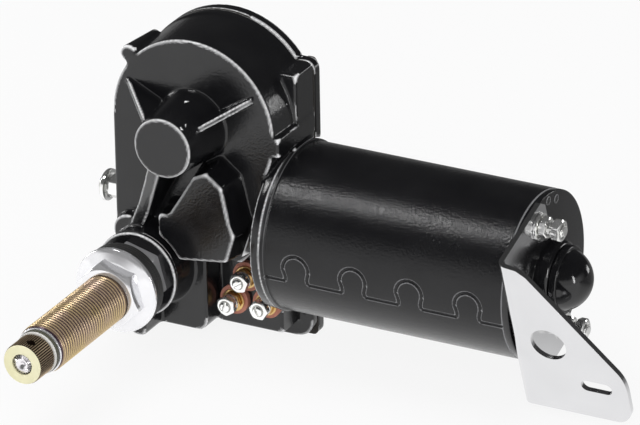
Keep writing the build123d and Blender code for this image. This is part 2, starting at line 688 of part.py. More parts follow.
def worm_wheel():
    """Wheel with 43 teeth, a rim, a web and six lightening holes."""
    root = (wheel_root_radius, flank_angle(wheel_root_radius))
    tip = (wheel_outer_radius, flank_angle(wheel_outer_radius))
    points = []
    for tooth in range(wheel_teeth):
        centre = 2 * pi * (tooth + wheel_phase) / wheel_teeth
        for (radius, offset), side in [(root, -1), (tip, -1), (tip, 1), (root, 1)]:
            angle = centre + side * offset
            points.append((wheel_x + radius * cos(angle), wheel_z + radius * sin(angle)))
    body = slab(points, wheel_y, wheel_back_y)
    for y0, y1 in [(wheel_y - 1, wheel_y + 2.2), (wheel_back_y - 2.2, wheel_back_y + 1)]:
        body -= ring_y(wheel_root_radius - 3.4, 16.0, y0, y1, wheel_x, wheel_z)
    for k in range(6):
        angle = radians(60 * k + 30)
        body -= rod_y(3.6, wheel_y - 1, wheel_back_y + 1, wheel_x + 21.6 * cos(angle),
                      wheel_z + 21.6 * sin(angle))
    body -= rod_y(8.0, wheel_y - 1, wheel_back_y + 1, wheel_x, wheel_z)
    return body - rod_y(crank_pin_radius, wheel_y - 1, wheel_back_y - wheel_width / 2, crank_pin_x,
                        crank_pin_z)


def wheel_hub():
    """Steel hub in the wheel with the rear journal."""
    body = rod_y(8.0, wheel_y, wheel_back_y, wheel_x, wheel_z)
    body += rod_y(rear_journal_radius, wheel_back_y, cover_back_y - 1.5, wheel_x, wheel_z)
    return body - rod_y(crank_pin_radius, wheel_y - 1, wheel_back_y - wheel_width / 2, crank_pin_x,
                        crank_pin_z)


def wheel_bush_front():
    inner = front_journal_radius + running_gap
    return ring_y(inner + bush_wall, inner, gear_boss_y + 4, rocker_y - side_gap, wheel_x, wheel_z)


def wheel_bush_rear():
    inner = rear_journal_radius + running_gap
    return ring_y(inner + bush_wall, inner, wheel_back_y + 1.4, cover_back_y, wheel_x, wheel_z)


# ---------------------------------------------------------------- armature
def worm():
    """Single-start worm thread on a sleeve."""
    pitch = worm_pitch
    start = worm_start_x
    sleeve = rod_x(worm_root_radius, start, start + worm_length)
    helix = Helix(pitch, worm_length - 2 * pitch, worm_root_radius - 0.2)
    half_root = pitch / 4 + (worm_pitch_radius - worm_root_radius) * tan(radians(pressure_angle)) - 0.05
    half_tip = pitch / 4 - (worm_outer_radius - worm_pitch_radius) * tan(radians(pressure_angle)) - 0.05
    depth = worm_outer_radius - worm_root_radius + 0.2
    section = Plane(origin=helix @ 0, x_dir=(1, 0, 0), z_dir=helix % 0)
    profile = section * make_face(Polyline((0, -half_root), (depth, -half_tip), (depth, half_tip),
                                           (0, half_root), close=True))
    thread = sweep(profile, path=helix, is_frenet=True)
    thread = Pos(start + pitch, motor_y, motor_z) * Rot(0, 90, 0) * thread
    return sleeve + thread - rod_x(worm_shaft_radius, start - 1, start + worm_length + 1)


def armature_shaft():
    nose_end = nose_bush_x + 0.2
    body = rod_x(nose_radius, nose_end, worm_start_x)
    body += rod_x(worm_shaft_radius, worm_start_x - 6, bearing_x)
    body += rod_x(drive_bearing_bore, bearing_x - 3, core_start_x + core_length + 6)
    return body + rod_x(tail_radius, core_start_x, end_boss_end_x - 0.6)


def armature_core():
    """Laminated core with twelve slots."""
    body = rod_x(core_radius, core_start_x, core_start_x + core_length)
    slot = box(core_start_x - 1, core_start_x + core_length + 1, motor_y - 1.2, motor_y + 1.2,
               motor_z + core_radius - 8, motor_z + core_radius + 2)
    for k in range(12):
        body -= around_motor(slot, 30 * k)
    return body - rod_x(drive_bearing_bore, core_start_x - 1, core_start_x + core_length + 1)


def armature_windings():
    """End turns at both ends of the core."""
    inner = drive_bearing_bore
    ends = []
    for x0, x1, r0, r1 in [(brush_card_x + brush_card_thickness + side_gap, core_start_x, 12.0,
                            core_radius - 2),
                           (core_start_x + core_length, core_start_x + core_length + winding_length,
                            core_radius - 2, 15.0)]:
        ends.append(cone_x(r0, r1, x0, x1) - rod_x(inner, x0 - 1, x1 + 1))
    return one(ends)


def commutator():
    body = ring_x(commutator_radius, drive_bearing_bore, commutator_start_x,
                  commutator_start_x + commutator_length)
    slit = box(commutator_start_x - 1, commutator_start_x + commutator_length - 2, motor_y - 0.3,
               motor_y + 0.3,
               motor_z + commutator_radius - 1.2, motor_z + commutator_radius + 1)
    for k in range(12):
        body -= around_motor(slit, 30 * k + 15)
    return body


def drive_bearing():
    body = ring_x(drive_bearing_radius, drive_bearing_bore + running_gap, bearing_x, bearing_end_x)
    return body - ring_x(11.6, 8.4, bearing_x - 1, bearing_x + 0.8) - ring_x(11.6, 8.4, bearing_end_x - 0.8,
                                                                             bearing_end_x + 1)


def nose_bush():
    inner = nose_radius + running_gap
    return ring_x(inner + bush_wall, inner, nose_bush_x, nose_bush_x + nose_bush_length)


def thrust_ball():
    return Pos(nose_bush_x + 0.15 - thrust_ball_radius, motor_y, motor_z) * Sphere(thrust_ball_radius)


def thrust_screw():
    body = rod_x(thrust_screw_radius, thrust_head_x + thrust_head_length, nose_bush_x - 3.6)
    head = rod_x(thrust_head_radius, thrust_head_x, thrust_head_x + thrust_head_length)
    head = chamfer(head.edges().filter_by(GeomType.CIRCLE), 0.5)
    slot = box(thrust_head_x - 1, thrust_head_x + 1.4, motor_y - 0.7, motor_y + 0.7, motor_z - 10,
               motor_z + 10)
    return body + head - slot


# ---------------------------------------------------------------- motor
def motor_tube():
    body = ring_x(tube_radius, tube_bore, motor_face_x, tube_end_x)
    return body + ring_x(tube_lip_radius, tube_bore, motor_face_x, motor_face_x + tube_lip_width)


def magnets():
    outer = tube_bore - seat_gap
    ring = ring_x(outer, outer - magnet_thickness + seat_gap, magnet_start_x,
                  magnet_start_x + magnet_length)
    far = tube_radius * 3
    half = radians(magnet_arc / 2)
    pieces = []
    for angle in tie_bolt_angles:
        wedge_face = Plane.YZ * make_face(Polyline((0, 0), (far * cos(half), far * sin(half)),
                                                   (far * cos(half), -far * sin(half)), close=True))
        wedge = Pos(magnet_start_x - 1, motor_y, motor_z) * Rot(angle, 0, 0) * extrude(wedge_face,
                                                                                       amount=magnet_length
                                                                                       + 2)
        pieces.append(ring & wedge)
    return one(pieces)


def end_cap():
    body = rod_x(tube_radius, tube_end_x, leg_x) + ring_x(tube_bore - seat_gap, tube_bore - 3,
                                                          tube_end_x - 4, tube_end_x)
    body += rod_x(end_boss_radius, tube_end_x, end_boss_end_x)
    body -= rod_x(rear_bearing_radius, tube_end_x - 1, end_boss_end_x - 1.5)
    body -= rod_x(tail_radius + 1, tube_end_x, end_boss_end_x + 1)
    for angle in tie_bolt_angles:
        y, z = motor_polar(tie_bolt_circle, angle)
        body -= rod_x(tie_bolt_radius + bolt_gap, tube_end_x - 6, leg_x + 1, y, z)
    return body


def rear_motor_bearing():
    return ring_x(rear_bearing_radius, tail_radius + running_gap, tube_end_x + rear_bearing_gap,
                  end_boss_end_x - 1.5)


def dome_arc(radius, x_start):
    """Arc of the dome from x_start to its tip, as (x, distance from the motor axis)."""
    start = (x_start, sqrt(radius**2 - (x_start - dome_centre_x) ** 2))
    turn = atan2(start[1], x_start - dome_centre_x) / 2
    middle = (dome_centre_x + radius * cos(turn), radius * sin(turn))
    return start, ThreePointArc(start, middle, (dome_centre_x + radius, 0))


def bearing_cap():
    """Domed cap pressed on the end of the bearing boss."""
    inner_radius = dome_radius - dome_wall
    outer_start, outer_arc = dome_arc(dome_radius, dome_skirt_end_x)
    inner_start, inner_arc = dome_arc(inner_radius, end_boss_end_x)
    rim = Polyline(inner_start, (end_boss_end_x, dome_skirt_radius), (dome_skirt_end_x, dome_skirt_radius),
                   outer_start)
    tip = Line((dome_centre_x + dome_radius, 0), (dome_centre_x + inner_radius, 0))
    profile = make_face([rim, outer_arc, tip, inner_arc])
    return Pos(0, motor_y, motor_z) * revolve(profile, Axis.X)


def at_tie_bolts(make):
    return one([make(*motor_polar(tie_bolt_circle, angle)) for angle in tie_bolt_angles])


def tie_bolts():
    return at_tie_bolts(lambda y, z: rod_x(tie_bolt_radius, collar_start_x + 1, foot_x + tie_bolt_reach, y,
                                           z))


def tie_bolt_washers():
    end = foot_x + tie_washer_thickness
    return at_tie_bolts(lambda y, z: ring_x(tie_washer_radius, tie_bolt_radius, foot_x, end, y, z))


def tie_bolt_nuts():
    nuts = []
    for distance, height in tie_nut_places:
        start = foot_x + tie_washer_thickness + distance
        nuts.append(at_tie_bolts(lambda y, z: hexagon_x(tie_nut_flats, start, start + height, y, z)
                                 - rod_x(tie_bolt_radius, start, start + height, y, z)))
    return one(nuts)


def brush_holder():
    """Insulating card with three guides."""
    x0 = brush_card_x
    body = ring_x(tube_bore - seat_gap, commutator_radius + 2.0, x0, x0 + brush_card_thickness)
    for angle in tie_bolt_angles:
        y, z = motor_polar(tie_bolt_circle, angle)
        body -= rod_x(tie_bolt_radius + 1, x0 - 1, x0 + 3, y, z)
    guide = box(brush_plane_x - 5, x0, motor_y - 4.2, motor_y + 4.2, motor_z + commutator_radius + 1.5,
                motor_z + 24)
    guide -= box(brush_plane_x - 3.1, brush_plane_x + 3.1, motor_y - 2.6, motor_y + 2.6, motor_z,
                 motor_z + 23)
    for angle in brush_angles:
        body += around_motor(guide, angle)
    return body


def brushes():
    block = box(brush_plane_x - 3, brush_plane_x + 3, motor_y - 2.5, motor_y + 2.5,
                motor_z + commutator_radius + 0.3, motor_z + commutator_radius + 9)
    return one([around_motor(block, angle) for angle in brush_angles])


def brush_springs():
    z0 = motor_z + commutator_radius + 9
    spring = Pos(brush_plane_x, motor_y, (z0 + motor_z + 23) / 2) * Cylinder(1.8, motor_z + 23 - z0)
    return one([around_motor(spring, angle) for angle in brush_angles])


# ---------------------------------------------------------------- bracket
def mounting_bracket():
    """Sheet bracket: a leg behind the tie-bolt nuts and a foot that reaches past the motor end.

    Built with the motor axis as local X, the leg towards -Y and the foot's height along Z.
    """
    half = foot_half_height
    ring_space = end_boss_radius + 2.6
    leg = Plane.YZ * make_face(Polyline((-foot_distance, -half), (-foot_distance, half), (2.4, half),
                                        (5.4, 31.0), (5.4, 21.5),
                                        (0, 18), (0, -18), (5.4, -21.5), (5.4, -31.0), (2.4, -half),
                                        close=True))
    body = extrude(leg, amount=sheet)
    foot_face = make_face(Polyline((0, half), (7.7, half - 1.0), (11.3, half - 3.5),
                                   (foot_reach - 1.4, -10.8),
                                   (foot_reach, -16), (foot_reach, -half + 4.5), (foot_reach - 4, -half),
                                   (0, -half), close=True))
    foot = Pos(0, -foot_distance + sheet, 0) * extrude(Plane.XZ * foot_face, amount=sheet)
    body += foot
    uprights = body.edges().filter_by(Axis.Z)
    body = fillet(uprights.sort_by_distance((0, -foot_distance, 0))[0], bend_radius + sheet)
    body = fillet(body.edges().filter_by(Axis.Z).sort_by_distance((sheet, sheet - foot_distance, 0))[0],
                  bend_radius)
    body -= rod_x(ring_space, -1, 5, 0, 0)
    for angle in tie_bolt_angles:
        y, z = motor_polar(tie_bolt_circle, angle - bracket_tilt)
        body -= rod_x(tie_bolt_radius + bolt_gap, -1, 5, y - motor_y, z - motor_z)
    x, a = foot_hole_place
    body -= rod_y(foot_hole_radius, -60, 0, x + sheet, -a)
    x, a = foot_slot_place
    slot = Pos(x + sheet, -foot_distance, -a) * Rot(90, 0,
                                                    0) * extrude(SlotOverall(foot_slot_length,
                                                                             foot_slot_width), amount=10,
                                                                 both=True)
    body -= slot
    return Pos(leg_x, motor_y, motor_z) * Rot(bracket_tilt, 0, 0) * body


# ---------------------------------------------------------------- terminals
stud_front_y = terminal_y - fibre_washer_thickness - brass_washer_thickness - terminal_jam_height \
    - lock_washer_thickness - terminal_nut_height - stud_protrusion


def terminal_group(make):
    return one([make(x, z) for x, z in terminal_places])


def terminal_stack(level):
    """Front and back planes of a layer of the terminal stack."""
    heights = [fibre_washer_thickness, brass_washer_thickness, terminal_jam_height, lock_washer_thickness,
               terminal_nut_height]
    back = terminal_y - sum(heights[:level])
    return back - heights[level], back


def terminal_insulators():
    """Front washers with necks through the wall, and plain washers behind it."""
    y0, y1 = terminal_stack(0)
    inside = y1 + terminal_wall
    fronts = [rod_y(fibre_washer_radius, y0, y1, x, z) + rod_y(insulator_neck_radius, y1, inside, x, z)
              - rod_y(stud_radius, y0 - 1, inside + 1, x, z) for x, z in terminal_places]
    backs = [ring_y(stud_head_radius, stud_radius, inside, inside + inner_washer_thickness, x, z) for x,
             z in terminal_places]
    return one(fronts + backs)


def terminal_washers():
    y0, y1 = terminal_stack(1)
    return terminal_group(lambda x, z: ring_y(brass_washer_radius, stud_radius, y0, y1, x, z))


def terminal_jam_nuts():
    y0, y1 = terminal_stack(2)
    return terminal_group(lambda x, z: hexagon_y(terminal_nut_flats, y0, y1, x, z, 10)
                          - rod_y(stud_radius, y0, y1, x, z))


def terminal_lock_washers():
    y0, y1 = terminal_stack(3)
    return terminal_group(lambda x, z: ring_y(lock_washer_radius, stud_radius, y0, y1, x, z))


def terminal_nuts():
    y0, y1 = terminal_stack(4)
    return terminal_group(lambda x, z: hexagon_y(terminal_nut_flats, y0, y1, x, z, 25)
                          - rod_y(stud_radius, y0, y1, x, z))


def terminal_studs():
    def stud(x, z):
        head_y = terminal_y + terminal_wall + inner_washer_thickness
        return rod_y(stud_radius, stud_front_y, head_y, x, z) + rod_y(stud_head_radius, head_y,
                                                                      head_y + stud_head_thickness, x, z)
    return terminal_group(stud)


# ---------------------------------------------------------------- write the pieces
pieces = {
    "gear_housing": gear_housing,
    "rear_cover": rear_cover,
    "cover_gasket": cover_gasket,
    "cover_screws": cover_screws,
    "spindle_bushing": spindle_bushing,
    "front_bush": front_bush,
    "rear_bush": rear_bush,
    "inner_mounting_nut": inner_mounting_nut,
    "bulkhead_gasket": bulkhead_gasket,
    "outer_mounting_nut": outer_mounting_nut,
    "thrust_screw": thrust_screw,
    "thrust_ball": thrust_ball,
    "nose_bush": nose_bush,
    "drive_bearing": drive_bearing,
    "motor_tube": motor_tube,
    "magnets": magnets,
    "end_cap": end_cap,
    "rear_motor_bearing": rear_motor_bearing,
    "bearing_cap": bearing_cap,
    "tie_bolts": tie_bolts,
    "tie_bolt_washers": tie_bolt_washers,
    "tie_bolt_nuts": tie_bolt_nuts,
    "brush_holder": brush_holder,
    "brushes": brushes,
    "brush_springs": brush_springs,
    "mounting_bracket": mounting_bracket,
    "terminal_insulators": terminal_insulators,
    "terminal_washers": terminal_washers,
    "terminal_jam_nuts": terminal_jam_nuts,
    "terminal_lock_washers": terminal_lock_washers,
    "terminal_nuts": terminal_nuts,
    "terminal_studs": terminal_studs,
    "wheel_bush_front": wheel_bush_front,
    "wheel_bush_rear": wheel_bush_rear,
    "thrust_washer": thrust_washer,
    "armature_shaft": armature_shaft,
    "armature_core": armature_core,
    "armature_windings": armature_windings,
    "commutator": commutator,
    "worm": worm,
    "worm_wheel": worm_wheel,
    "wheel_hub": wheel_hub,
    "crank_pin": crank_pin,
    "crank_plate": crank_plate,
    "connecting_link": connecting_link,
    "link_bush": link_bush,
    "rocker_lever": rocker_lever,
    "rocker_pin": rocker_pin,
    "output_shaft": output_shaft,
    "knurled_drum": knurled_drum,
    "drum_washer": lambda: shaft_ring(8.4, drum_back_y, drum_back_y + drum_washer_thickness),
    "shaft_seal": lambda: shaft_ring(8.6, shaft_seal_y, shaft_seal_y + shaft_seal_thickness),
    "seal_cap": lambda: shaft_ring(9.0, seal_cap_y, seal_cap_y + seal_cap_thickness),
}

os.makedirs("parts", exist_ok=True)
for name, make in pieces.items():
    moved = [Pos(0, -origin_y, 0) * solid for solid in make().solids()]
    export_step(Compound(moved), f"parts/{name}.step")
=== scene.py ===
"""Looks of the heavy-duty wiper motor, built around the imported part. Lengths are millimetres until a mesh
is made, apart from those of the camera and the stage, which are metres."""

import json
from math import asin, ceil, cos, hypot, pi, radians, sin, sqrt

import bmesh
import bpy
import numpy as np
from mathutils import Matrix, Vector
from mathutils.bvhtree import BVHTree


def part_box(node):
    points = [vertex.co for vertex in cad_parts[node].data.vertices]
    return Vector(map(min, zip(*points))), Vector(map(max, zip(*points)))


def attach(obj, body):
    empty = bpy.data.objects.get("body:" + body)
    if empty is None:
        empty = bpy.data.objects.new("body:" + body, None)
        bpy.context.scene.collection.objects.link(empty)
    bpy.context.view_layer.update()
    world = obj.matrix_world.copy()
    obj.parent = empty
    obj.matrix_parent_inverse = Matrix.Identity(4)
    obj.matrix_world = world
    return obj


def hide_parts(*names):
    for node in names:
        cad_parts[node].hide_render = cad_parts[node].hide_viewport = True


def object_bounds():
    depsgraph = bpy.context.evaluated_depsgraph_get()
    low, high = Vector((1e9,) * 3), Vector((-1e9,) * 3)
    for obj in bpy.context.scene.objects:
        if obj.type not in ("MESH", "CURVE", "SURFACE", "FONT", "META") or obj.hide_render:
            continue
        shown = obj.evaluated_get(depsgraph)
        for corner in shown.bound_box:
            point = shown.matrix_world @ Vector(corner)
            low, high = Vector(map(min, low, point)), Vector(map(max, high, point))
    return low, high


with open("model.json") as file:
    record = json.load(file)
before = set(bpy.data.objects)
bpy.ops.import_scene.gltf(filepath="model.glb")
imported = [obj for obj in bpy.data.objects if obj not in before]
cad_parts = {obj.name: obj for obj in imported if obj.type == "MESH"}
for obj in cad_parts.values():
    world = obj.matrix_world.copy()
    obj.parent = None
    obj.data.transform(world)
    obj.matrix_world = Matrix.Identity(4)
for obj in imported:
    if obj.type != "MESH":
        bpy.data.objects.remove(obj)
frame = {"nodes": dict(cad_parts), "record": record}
cad_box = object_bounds()
nodes = frame["nodes"]

MM = 0.001

# ---------------------------------------------------------------- camera and stage (m)
camera_place = (1.146138, -1.951222, 1.090803)
camera_right = (0.885184, 0.464993, -0.015208)
camera_back = (0.427626, -0.800303, 0.420300)
camera_reach = 100.0
focal_pixels = 6817.1
picture_width = 640.0
sensor_width = 36.0  # mm

# name, direction from the object, distance, width, height, power in W, and what it lights:
# True is seen in reflections alone, False gives plain light alone
LAMPS = [
    ("key_lamp", (-0.43, -0.32, 0.845), 1.2, 0.20, 0.20, 2.9, True),
    ("left_strip", (-0.95, -0.12, 0.25), 1.4, 0.12, 0.50, 4.0, True),
    ("right_strip", (0.93, -0.25, 0.22), 1.4, 0.10, 0.50, 3.0, True),
    ("rear_low", (0.55, 0.82, 0.05), 1.5, 0.40, 0.25, 1.6, True),
    ("front_fill", (0.35, -0.80, 0.50), 1.8, 1.2, 1.2, 14.0, False),
    ("top_fill", (-0.20, -0.10, 1.00), 1.6, 1.2, 1.2, 12.0, False),
]
lamp_target = Vector((0.06, 0.0586, 0.02))

floor_colour = (0.86, 0.86, 0.87)
floor_glow = 0.88  # share of plain white in what the camera sees of the floor
floor_half_size = 8.0
floor_front, floor_back = 1.25, 0.26  # what gloss mirrors of the floor before the object and behind it
floor_fade = (0.06, 0.18)  # where one turns into the other, along y

room_fill = 0.35  # the world's plain light on the object, against 1 for white
room_dark, room_bright = 0.05, 1.0  # what gloss mirrors: above and behind, and low in front
low_bright_top = (0.20, 0.34)  # heights (as a direction's z) over which the bright part ends
front_bright_back = (0.05, 0.55)  # and the same for its y

# ---------------------------------------------------------------- sizes repeated from the part (mm)
motor_y, motor_z = 82.25, 16.4
wheel_x, wheel_z = 17.4, 58.4
cover_flat_distance, cover_flat_angle, lug_top_z = 32.9, 54.5, 79.0  # the CAD's flat, from the wheel
cover_circle_radius, cover_still_radius = 35.3, 24.0  # the photo's circle, and what stays inside it
tube_radius, tube_bore = 32.2, 30.0
tube_lip_radius, tube_lip_width = 32.88, 1.8
thread_radius, thread_pitch = 9.525, 25.4 / 16
nut_flats, nut_turn = 23.6, 45.0
nut_flange_radius = 16.9
gasket_radius = 16.4
bush_bore, neck_radius = 6.2, 9.1
drum_radius, drum_hole_radius, drum_hole_angle = 7.95, 1.6, 13.0
shaft_radius, shaft_tip_radius = 4.75, 3.9
terminal_places = [(34.0, -4.1), (28.4, -14.7), (42.3, -13.6)]
stud_radius, terminal_flats = 2.0, 7.0
brass_washer_radius, lock_washer_radius = 4.5, 3.5
tie_bolt_circle, tie_bolt_angles = 26.2, [22.0, 202.0]
tie_bolt_radius, tie_nut_flats, tie_washer_radius = 2.4, 8.0, 5.4
end_boss_radius, dome_skirt_radius, dome_radius = 14.2, 13.0, 12.1
dome_inset, dome_skirt_width, end_cap_rim = 0.6, 3.0, 2.4
thrust_head_radius, thrust_head_length, thrust_screw_radius = 6.2, 4.0, 3.0
cover_screw_places = [(47.9, 75.0), (47.0, -28.0), (21.5, -28.6), (-3.5, -28.0), (-13.6, 29.0)]
cover_screw_flats, cover_screw_head_radius, cover_screw_radius = 5.0, 2.9, 1.6


def span(node):
    """Lowest and highest corner of a CAD node at rest, in mm."""
    low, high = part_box(node)
    return low / MM, high / MM


def orthonormal(right, back):
    """Rotation whose x is right and whose z is as near to back as that allows."""
    right = Vector(right).normalized()
    back = (Vector(back) - right * right.dot(Vector(back))).normalized()
    return Matrix((right, back.cross(right), back)).transposed()


def make_camera():
    data = bpy.data.cameras.new("camera")
    data.sensor_fit = "HORIZONTAL"
    data.sensor_width = sensor_width
    data.lens = focal_pixels / picture_width * sensor_width
    data.clip_end = camera_reach
    camera = bpy.data.objects.new("camera", data)
    turn = orthonormal(camera_right, camera_back).to_4x4()
    camera.matrix_world = Matrix.Translation(camera_place) @ turn
    bpy.context.scene.collection.objects.link(camera)
    bpy.context.scene.camera = camera


def make_lamps():
    for name, direction, distance, width, height, power, reflected in LAMPS:
        data = bpy.data.lights.new(name, "AREA")
        data.shape = "RECTANGLE"
        data.size = width
        data.size_y = height
        data.energy = power
        lamp = bpy.data.objects.new(name, data)
        away = Vector(direction).normalized()
        lamp.location = lamp_target + away * distance
        lamp.rotation_euler = away.to_track_quat("Z", "Y").to_euler()
        lamp.visible_glossy = reflected
        lamp.visible_diffuse = not reflected
        bpy.context.scene.collection.objects.link(lamp)


# ---------------------------------------------------------------- shader nodes
def add_node(tree, kind, inputs={}, **settings):
    """Shader node whose inputs are values or sockets."""
    node = tree.nodes.new("ShaderNode" + kind)
    for key, value in settings.items():
        setattr(node, key, value)
    for key, value in inputs.items():
        if isinstance(value, bpy.types.NodeSocket):
            tree.links.new(value, node.inputs[key])
        else:
            node.inputs[key].default_value = value
    return node


def math_node(tree, operation, *values):
    return add_node(tree, "Math", dict(enumerate(values)), operation=operation).outputs[0]


def coordinates(tree, kind="Object"):
    return add_node(tree, "TexCoord").outputs[kind]


def components(tree, vector):
    """X, Y and Z sockets."""
    return add_node(tree, "SeparateXYZ", {0: vector}).outputs


def ray_kinds(tree):
    """Two sockets: 1 for camera rays, and 1 for glossy and transmission rays."""
    path = add_node(tree, "LightPath").outputs
    mirrored = math_node(tree, "MAXIMUM", path["Is Glossy Ray"], path["Is Transmission Ray"])
    return path["Is Camera Ray"], mirrored


def noise(tree, scale, detail, stretch):
    """Noise in the part's own coordinates, scale in features per metre."""
    place = add_node(tree, "Mapping", {"Vector": coordinates(tree), "Scale": stretch}).outputs["Vector"]
    texture = add_node(tree, "TexNoise", {"Vector": place, "Scale": scale, "Detail": detail})
    return texture.outputs["Fac"]


def map_range(tree, socket, low, high, start=0.3, end=0.7):
    """low where the socket is at start or less, high where it is at end or more."""
    ranges = {"From Min": start, "From Max": end, "To Min": low, "To Max": high}
    return add_node(tree, "MapRange", {"Value": socket, **ranges}).outputs["Result"]


def mix_colours(tree, share, first, second):
    """first and second are colours or sockets."""
    node = add_node(tree, "Mix", {"Factor": share}, data_type="RGBA")
    for name, value in (("A", first), ("B", second)):
        socket = [s for s in node.inputs if s.name == name and s.type == "RGBA"][0]
        if isinstance(value, tuple):
            socket.default_value = (*value, 1)
        else:
            tree.links.new(value, socket)
    return [s for s in node.outputs if s.type == "RGBA"][0]


# ---------------------------------------------------------------- world and floor
def make_world():
    """White to the camera, and a soft fill on the object.
    Gloss mirrors a dark room with a pale lower front."""
    world = bpy.data.worlds.new("studio")
    world.use_nodes = True
    tree = world.node_tree
    background = tree.nodes["Background"]
    background.inputs["Color"].default_value = (1, 1, 1, 1)
    to_camera, to_mirror = ray_kinds(tree)
    direction = components(tree, coordinates(tree, "Generated"))
    low = map_range(tree, direction["Z"], 1.0, 0.0, *low_bright_top)
    front = map_range(tree, direction["Y"], 1.0, 0.0, *front_bright_back)
    pale = math_node(tree, "MULTIPLY", low, front)
    mirrored = math_node(tree, "MULTIPLY_ADD", pale, room_bright - room_dark, room_dark - room_fill)
    plain = math_node(tree, "MULTIPLY_ADD", to_camera, 1.0 - room_fill, room_fill)
    strength = math_node(tree, "MULTIPLY_ADD", to_mirror, mirrored, plain)
    tree.links.new(strength, background.inputs["Strength"])
    bpy.context.scene.world = world


def make_floor():
    z = cad_box[0][2]
    mesh = bpy.data.meshes.new("floor")
    half = floor_half_size
    corners = [(-half, -half, z), (half, -half, z), (half, half, z), (-half, half, z)]
    mesh.from_pydata(corners, [], [(0, 1, 2, 3)])
    floor = bpy.data.objects.new("floor", mesh)
    bpy.context.scene.collection.objects.link(floor)
    material = bpy.data.materials.new("floor")
    material.use_nodes = True
    tree = material.node_tree
    tree.nodes.remove(tree.nodes["Principled BSDF"])
    to_camera, to_mirror = ray_kinds(tree)
    away = components(tree, coordinates(tree))["Y"]
    dimming = map_range(tree, away, 1.0 - floor_front, 1.0 - floor_back, *floor_fade)
    strength = math_node(tree, "MULTIPLY_ADD", math_node(tree, "MULTIPLY", to_mirror, dimming), -1.0, 1.0)
    share = math_node(tree, "MULTIPLY_ADD", to_camera, floor_glow, to_mirror)
    diffuse = add_node(tree, "BsdfDiffuse", {"Color": (*floor_colour, 1)})
    glow = add_node(tree, "Emission", {"Color": (1, 1, 1, 1), "Strength": strength})
    mix = add_node(tree, "MixShader", {0: share, 1: diffuse.outputs[0], 2: glow.outputs[0]})
    tree.links.new(mix.outputs[0], tree.nodes["Material Output"].inputs["Surface"])
    mesh.materials.append(material)


# ---------------------------------------------------------------- materials
edge_range = (0.515, 0.538)  # pointiness over which a convex edge takes the painted highlight colour
blotch_detail, smear_detail, grain_detail = 4.0, 3.0, 2.0
smears_per_blotch = 3.7  # how much finer the roughness varies than the colour


def spindle_distance(tree):
    """Distance from the spindle axis, in metres."""
    across = add_node(tree, "VectorMath", {0: coordinates(tree), 1: (1.0, 0.0, 1.0)}, operation="MULTIPLY")
    return add_node(tree, "VectorMath", {0: across.outputs["Vector"]}, operation="LENGTH").outputs["Value"]


def finish(name, colour, second, roughness, metallic=0.0, blotch=60.0, grain=900.0, height=0.02,
           edge_highlight=None, stretch=(1.0, 1.0, 1.0), specular=0.5, groove_shade=None, cast=False):
    """Material with blotches between two colours, a roughness range and a grain of this height (mm).
    The convex-edge colour is a painted highlight, in place of the light that rounded edges catch; on a cast
    piece only the small rounding faces show it.
    The groove tuple (low radius, high radius, colour) is painted shade: the colour fills a thread's grooves
    round the spindle axis."""
    material = bpy.data.materials.new(name)
    material.use_nodes = True
    tree = material.node_tree
    shader = tree.nodes["Principled BSDF"]
    shader.inputs["Metallic"].default_value = metallic
    shader.inputs["Specular IOR Level"].default_value = specular
    blotches = noise(tree, blotch, blotch_detail, stretch)
    colours = mix_colours(tree, map_range(tree, blotches, 0.0, 1.0), colour, second)
    # painted highlight: convex edges are mixed towards a pale colour in place of the light they catch
    if edge_highlight is not None:
        pointiness = add_node(tree, "NewGeometry").outputs["Pointiness"]
        edge = map_range(tree, pointiness, 0.0, 1.0, *edge_range)
        if cast:
            rounding = add_node(tree, "Attribute", attribute_name="rounding").outputs["Fac"]
            edge = math_node(tree, "MULTIPLY", edge, rounding)
        colours = mix_colours(tree, edge, colours, edge_highlight)
    # painted shade: the grooves are mixed towards a dark colour by distance from the spindle axis
    if groove_shade is not None:
        low_radius, high_radius, groove_shade_colour = groove_shade
        depth = map_range(tree, spindle_distance(tree), 1.0, 0.0, low_radius * MM, high_radius * MM)
        colours = mix_colours(tree, depth, colours, groove_shade_colour)
    tree.links.new(colours, shader.inputs["Base Color"])
    smears = noise(tree, blotch * smears_per_blotch, smear_detail, stretch)
    tree.links.new(map_range(tree, smears, *roughness), shader.inputs["Roughness"])
    bumps = noise(tree, grain, grain_detail, stretch)
    bump = add_node(tree, "Bump", {"Strength": 1.0, "Distance": height * MM, "Height": bumps})
    tree.links.new(bump.outputs["Normal"], shader.inputs["Normal"])
    return material


paint = ((0.006, 0.006, 0.007), (0.010, 0.010, 0.011))
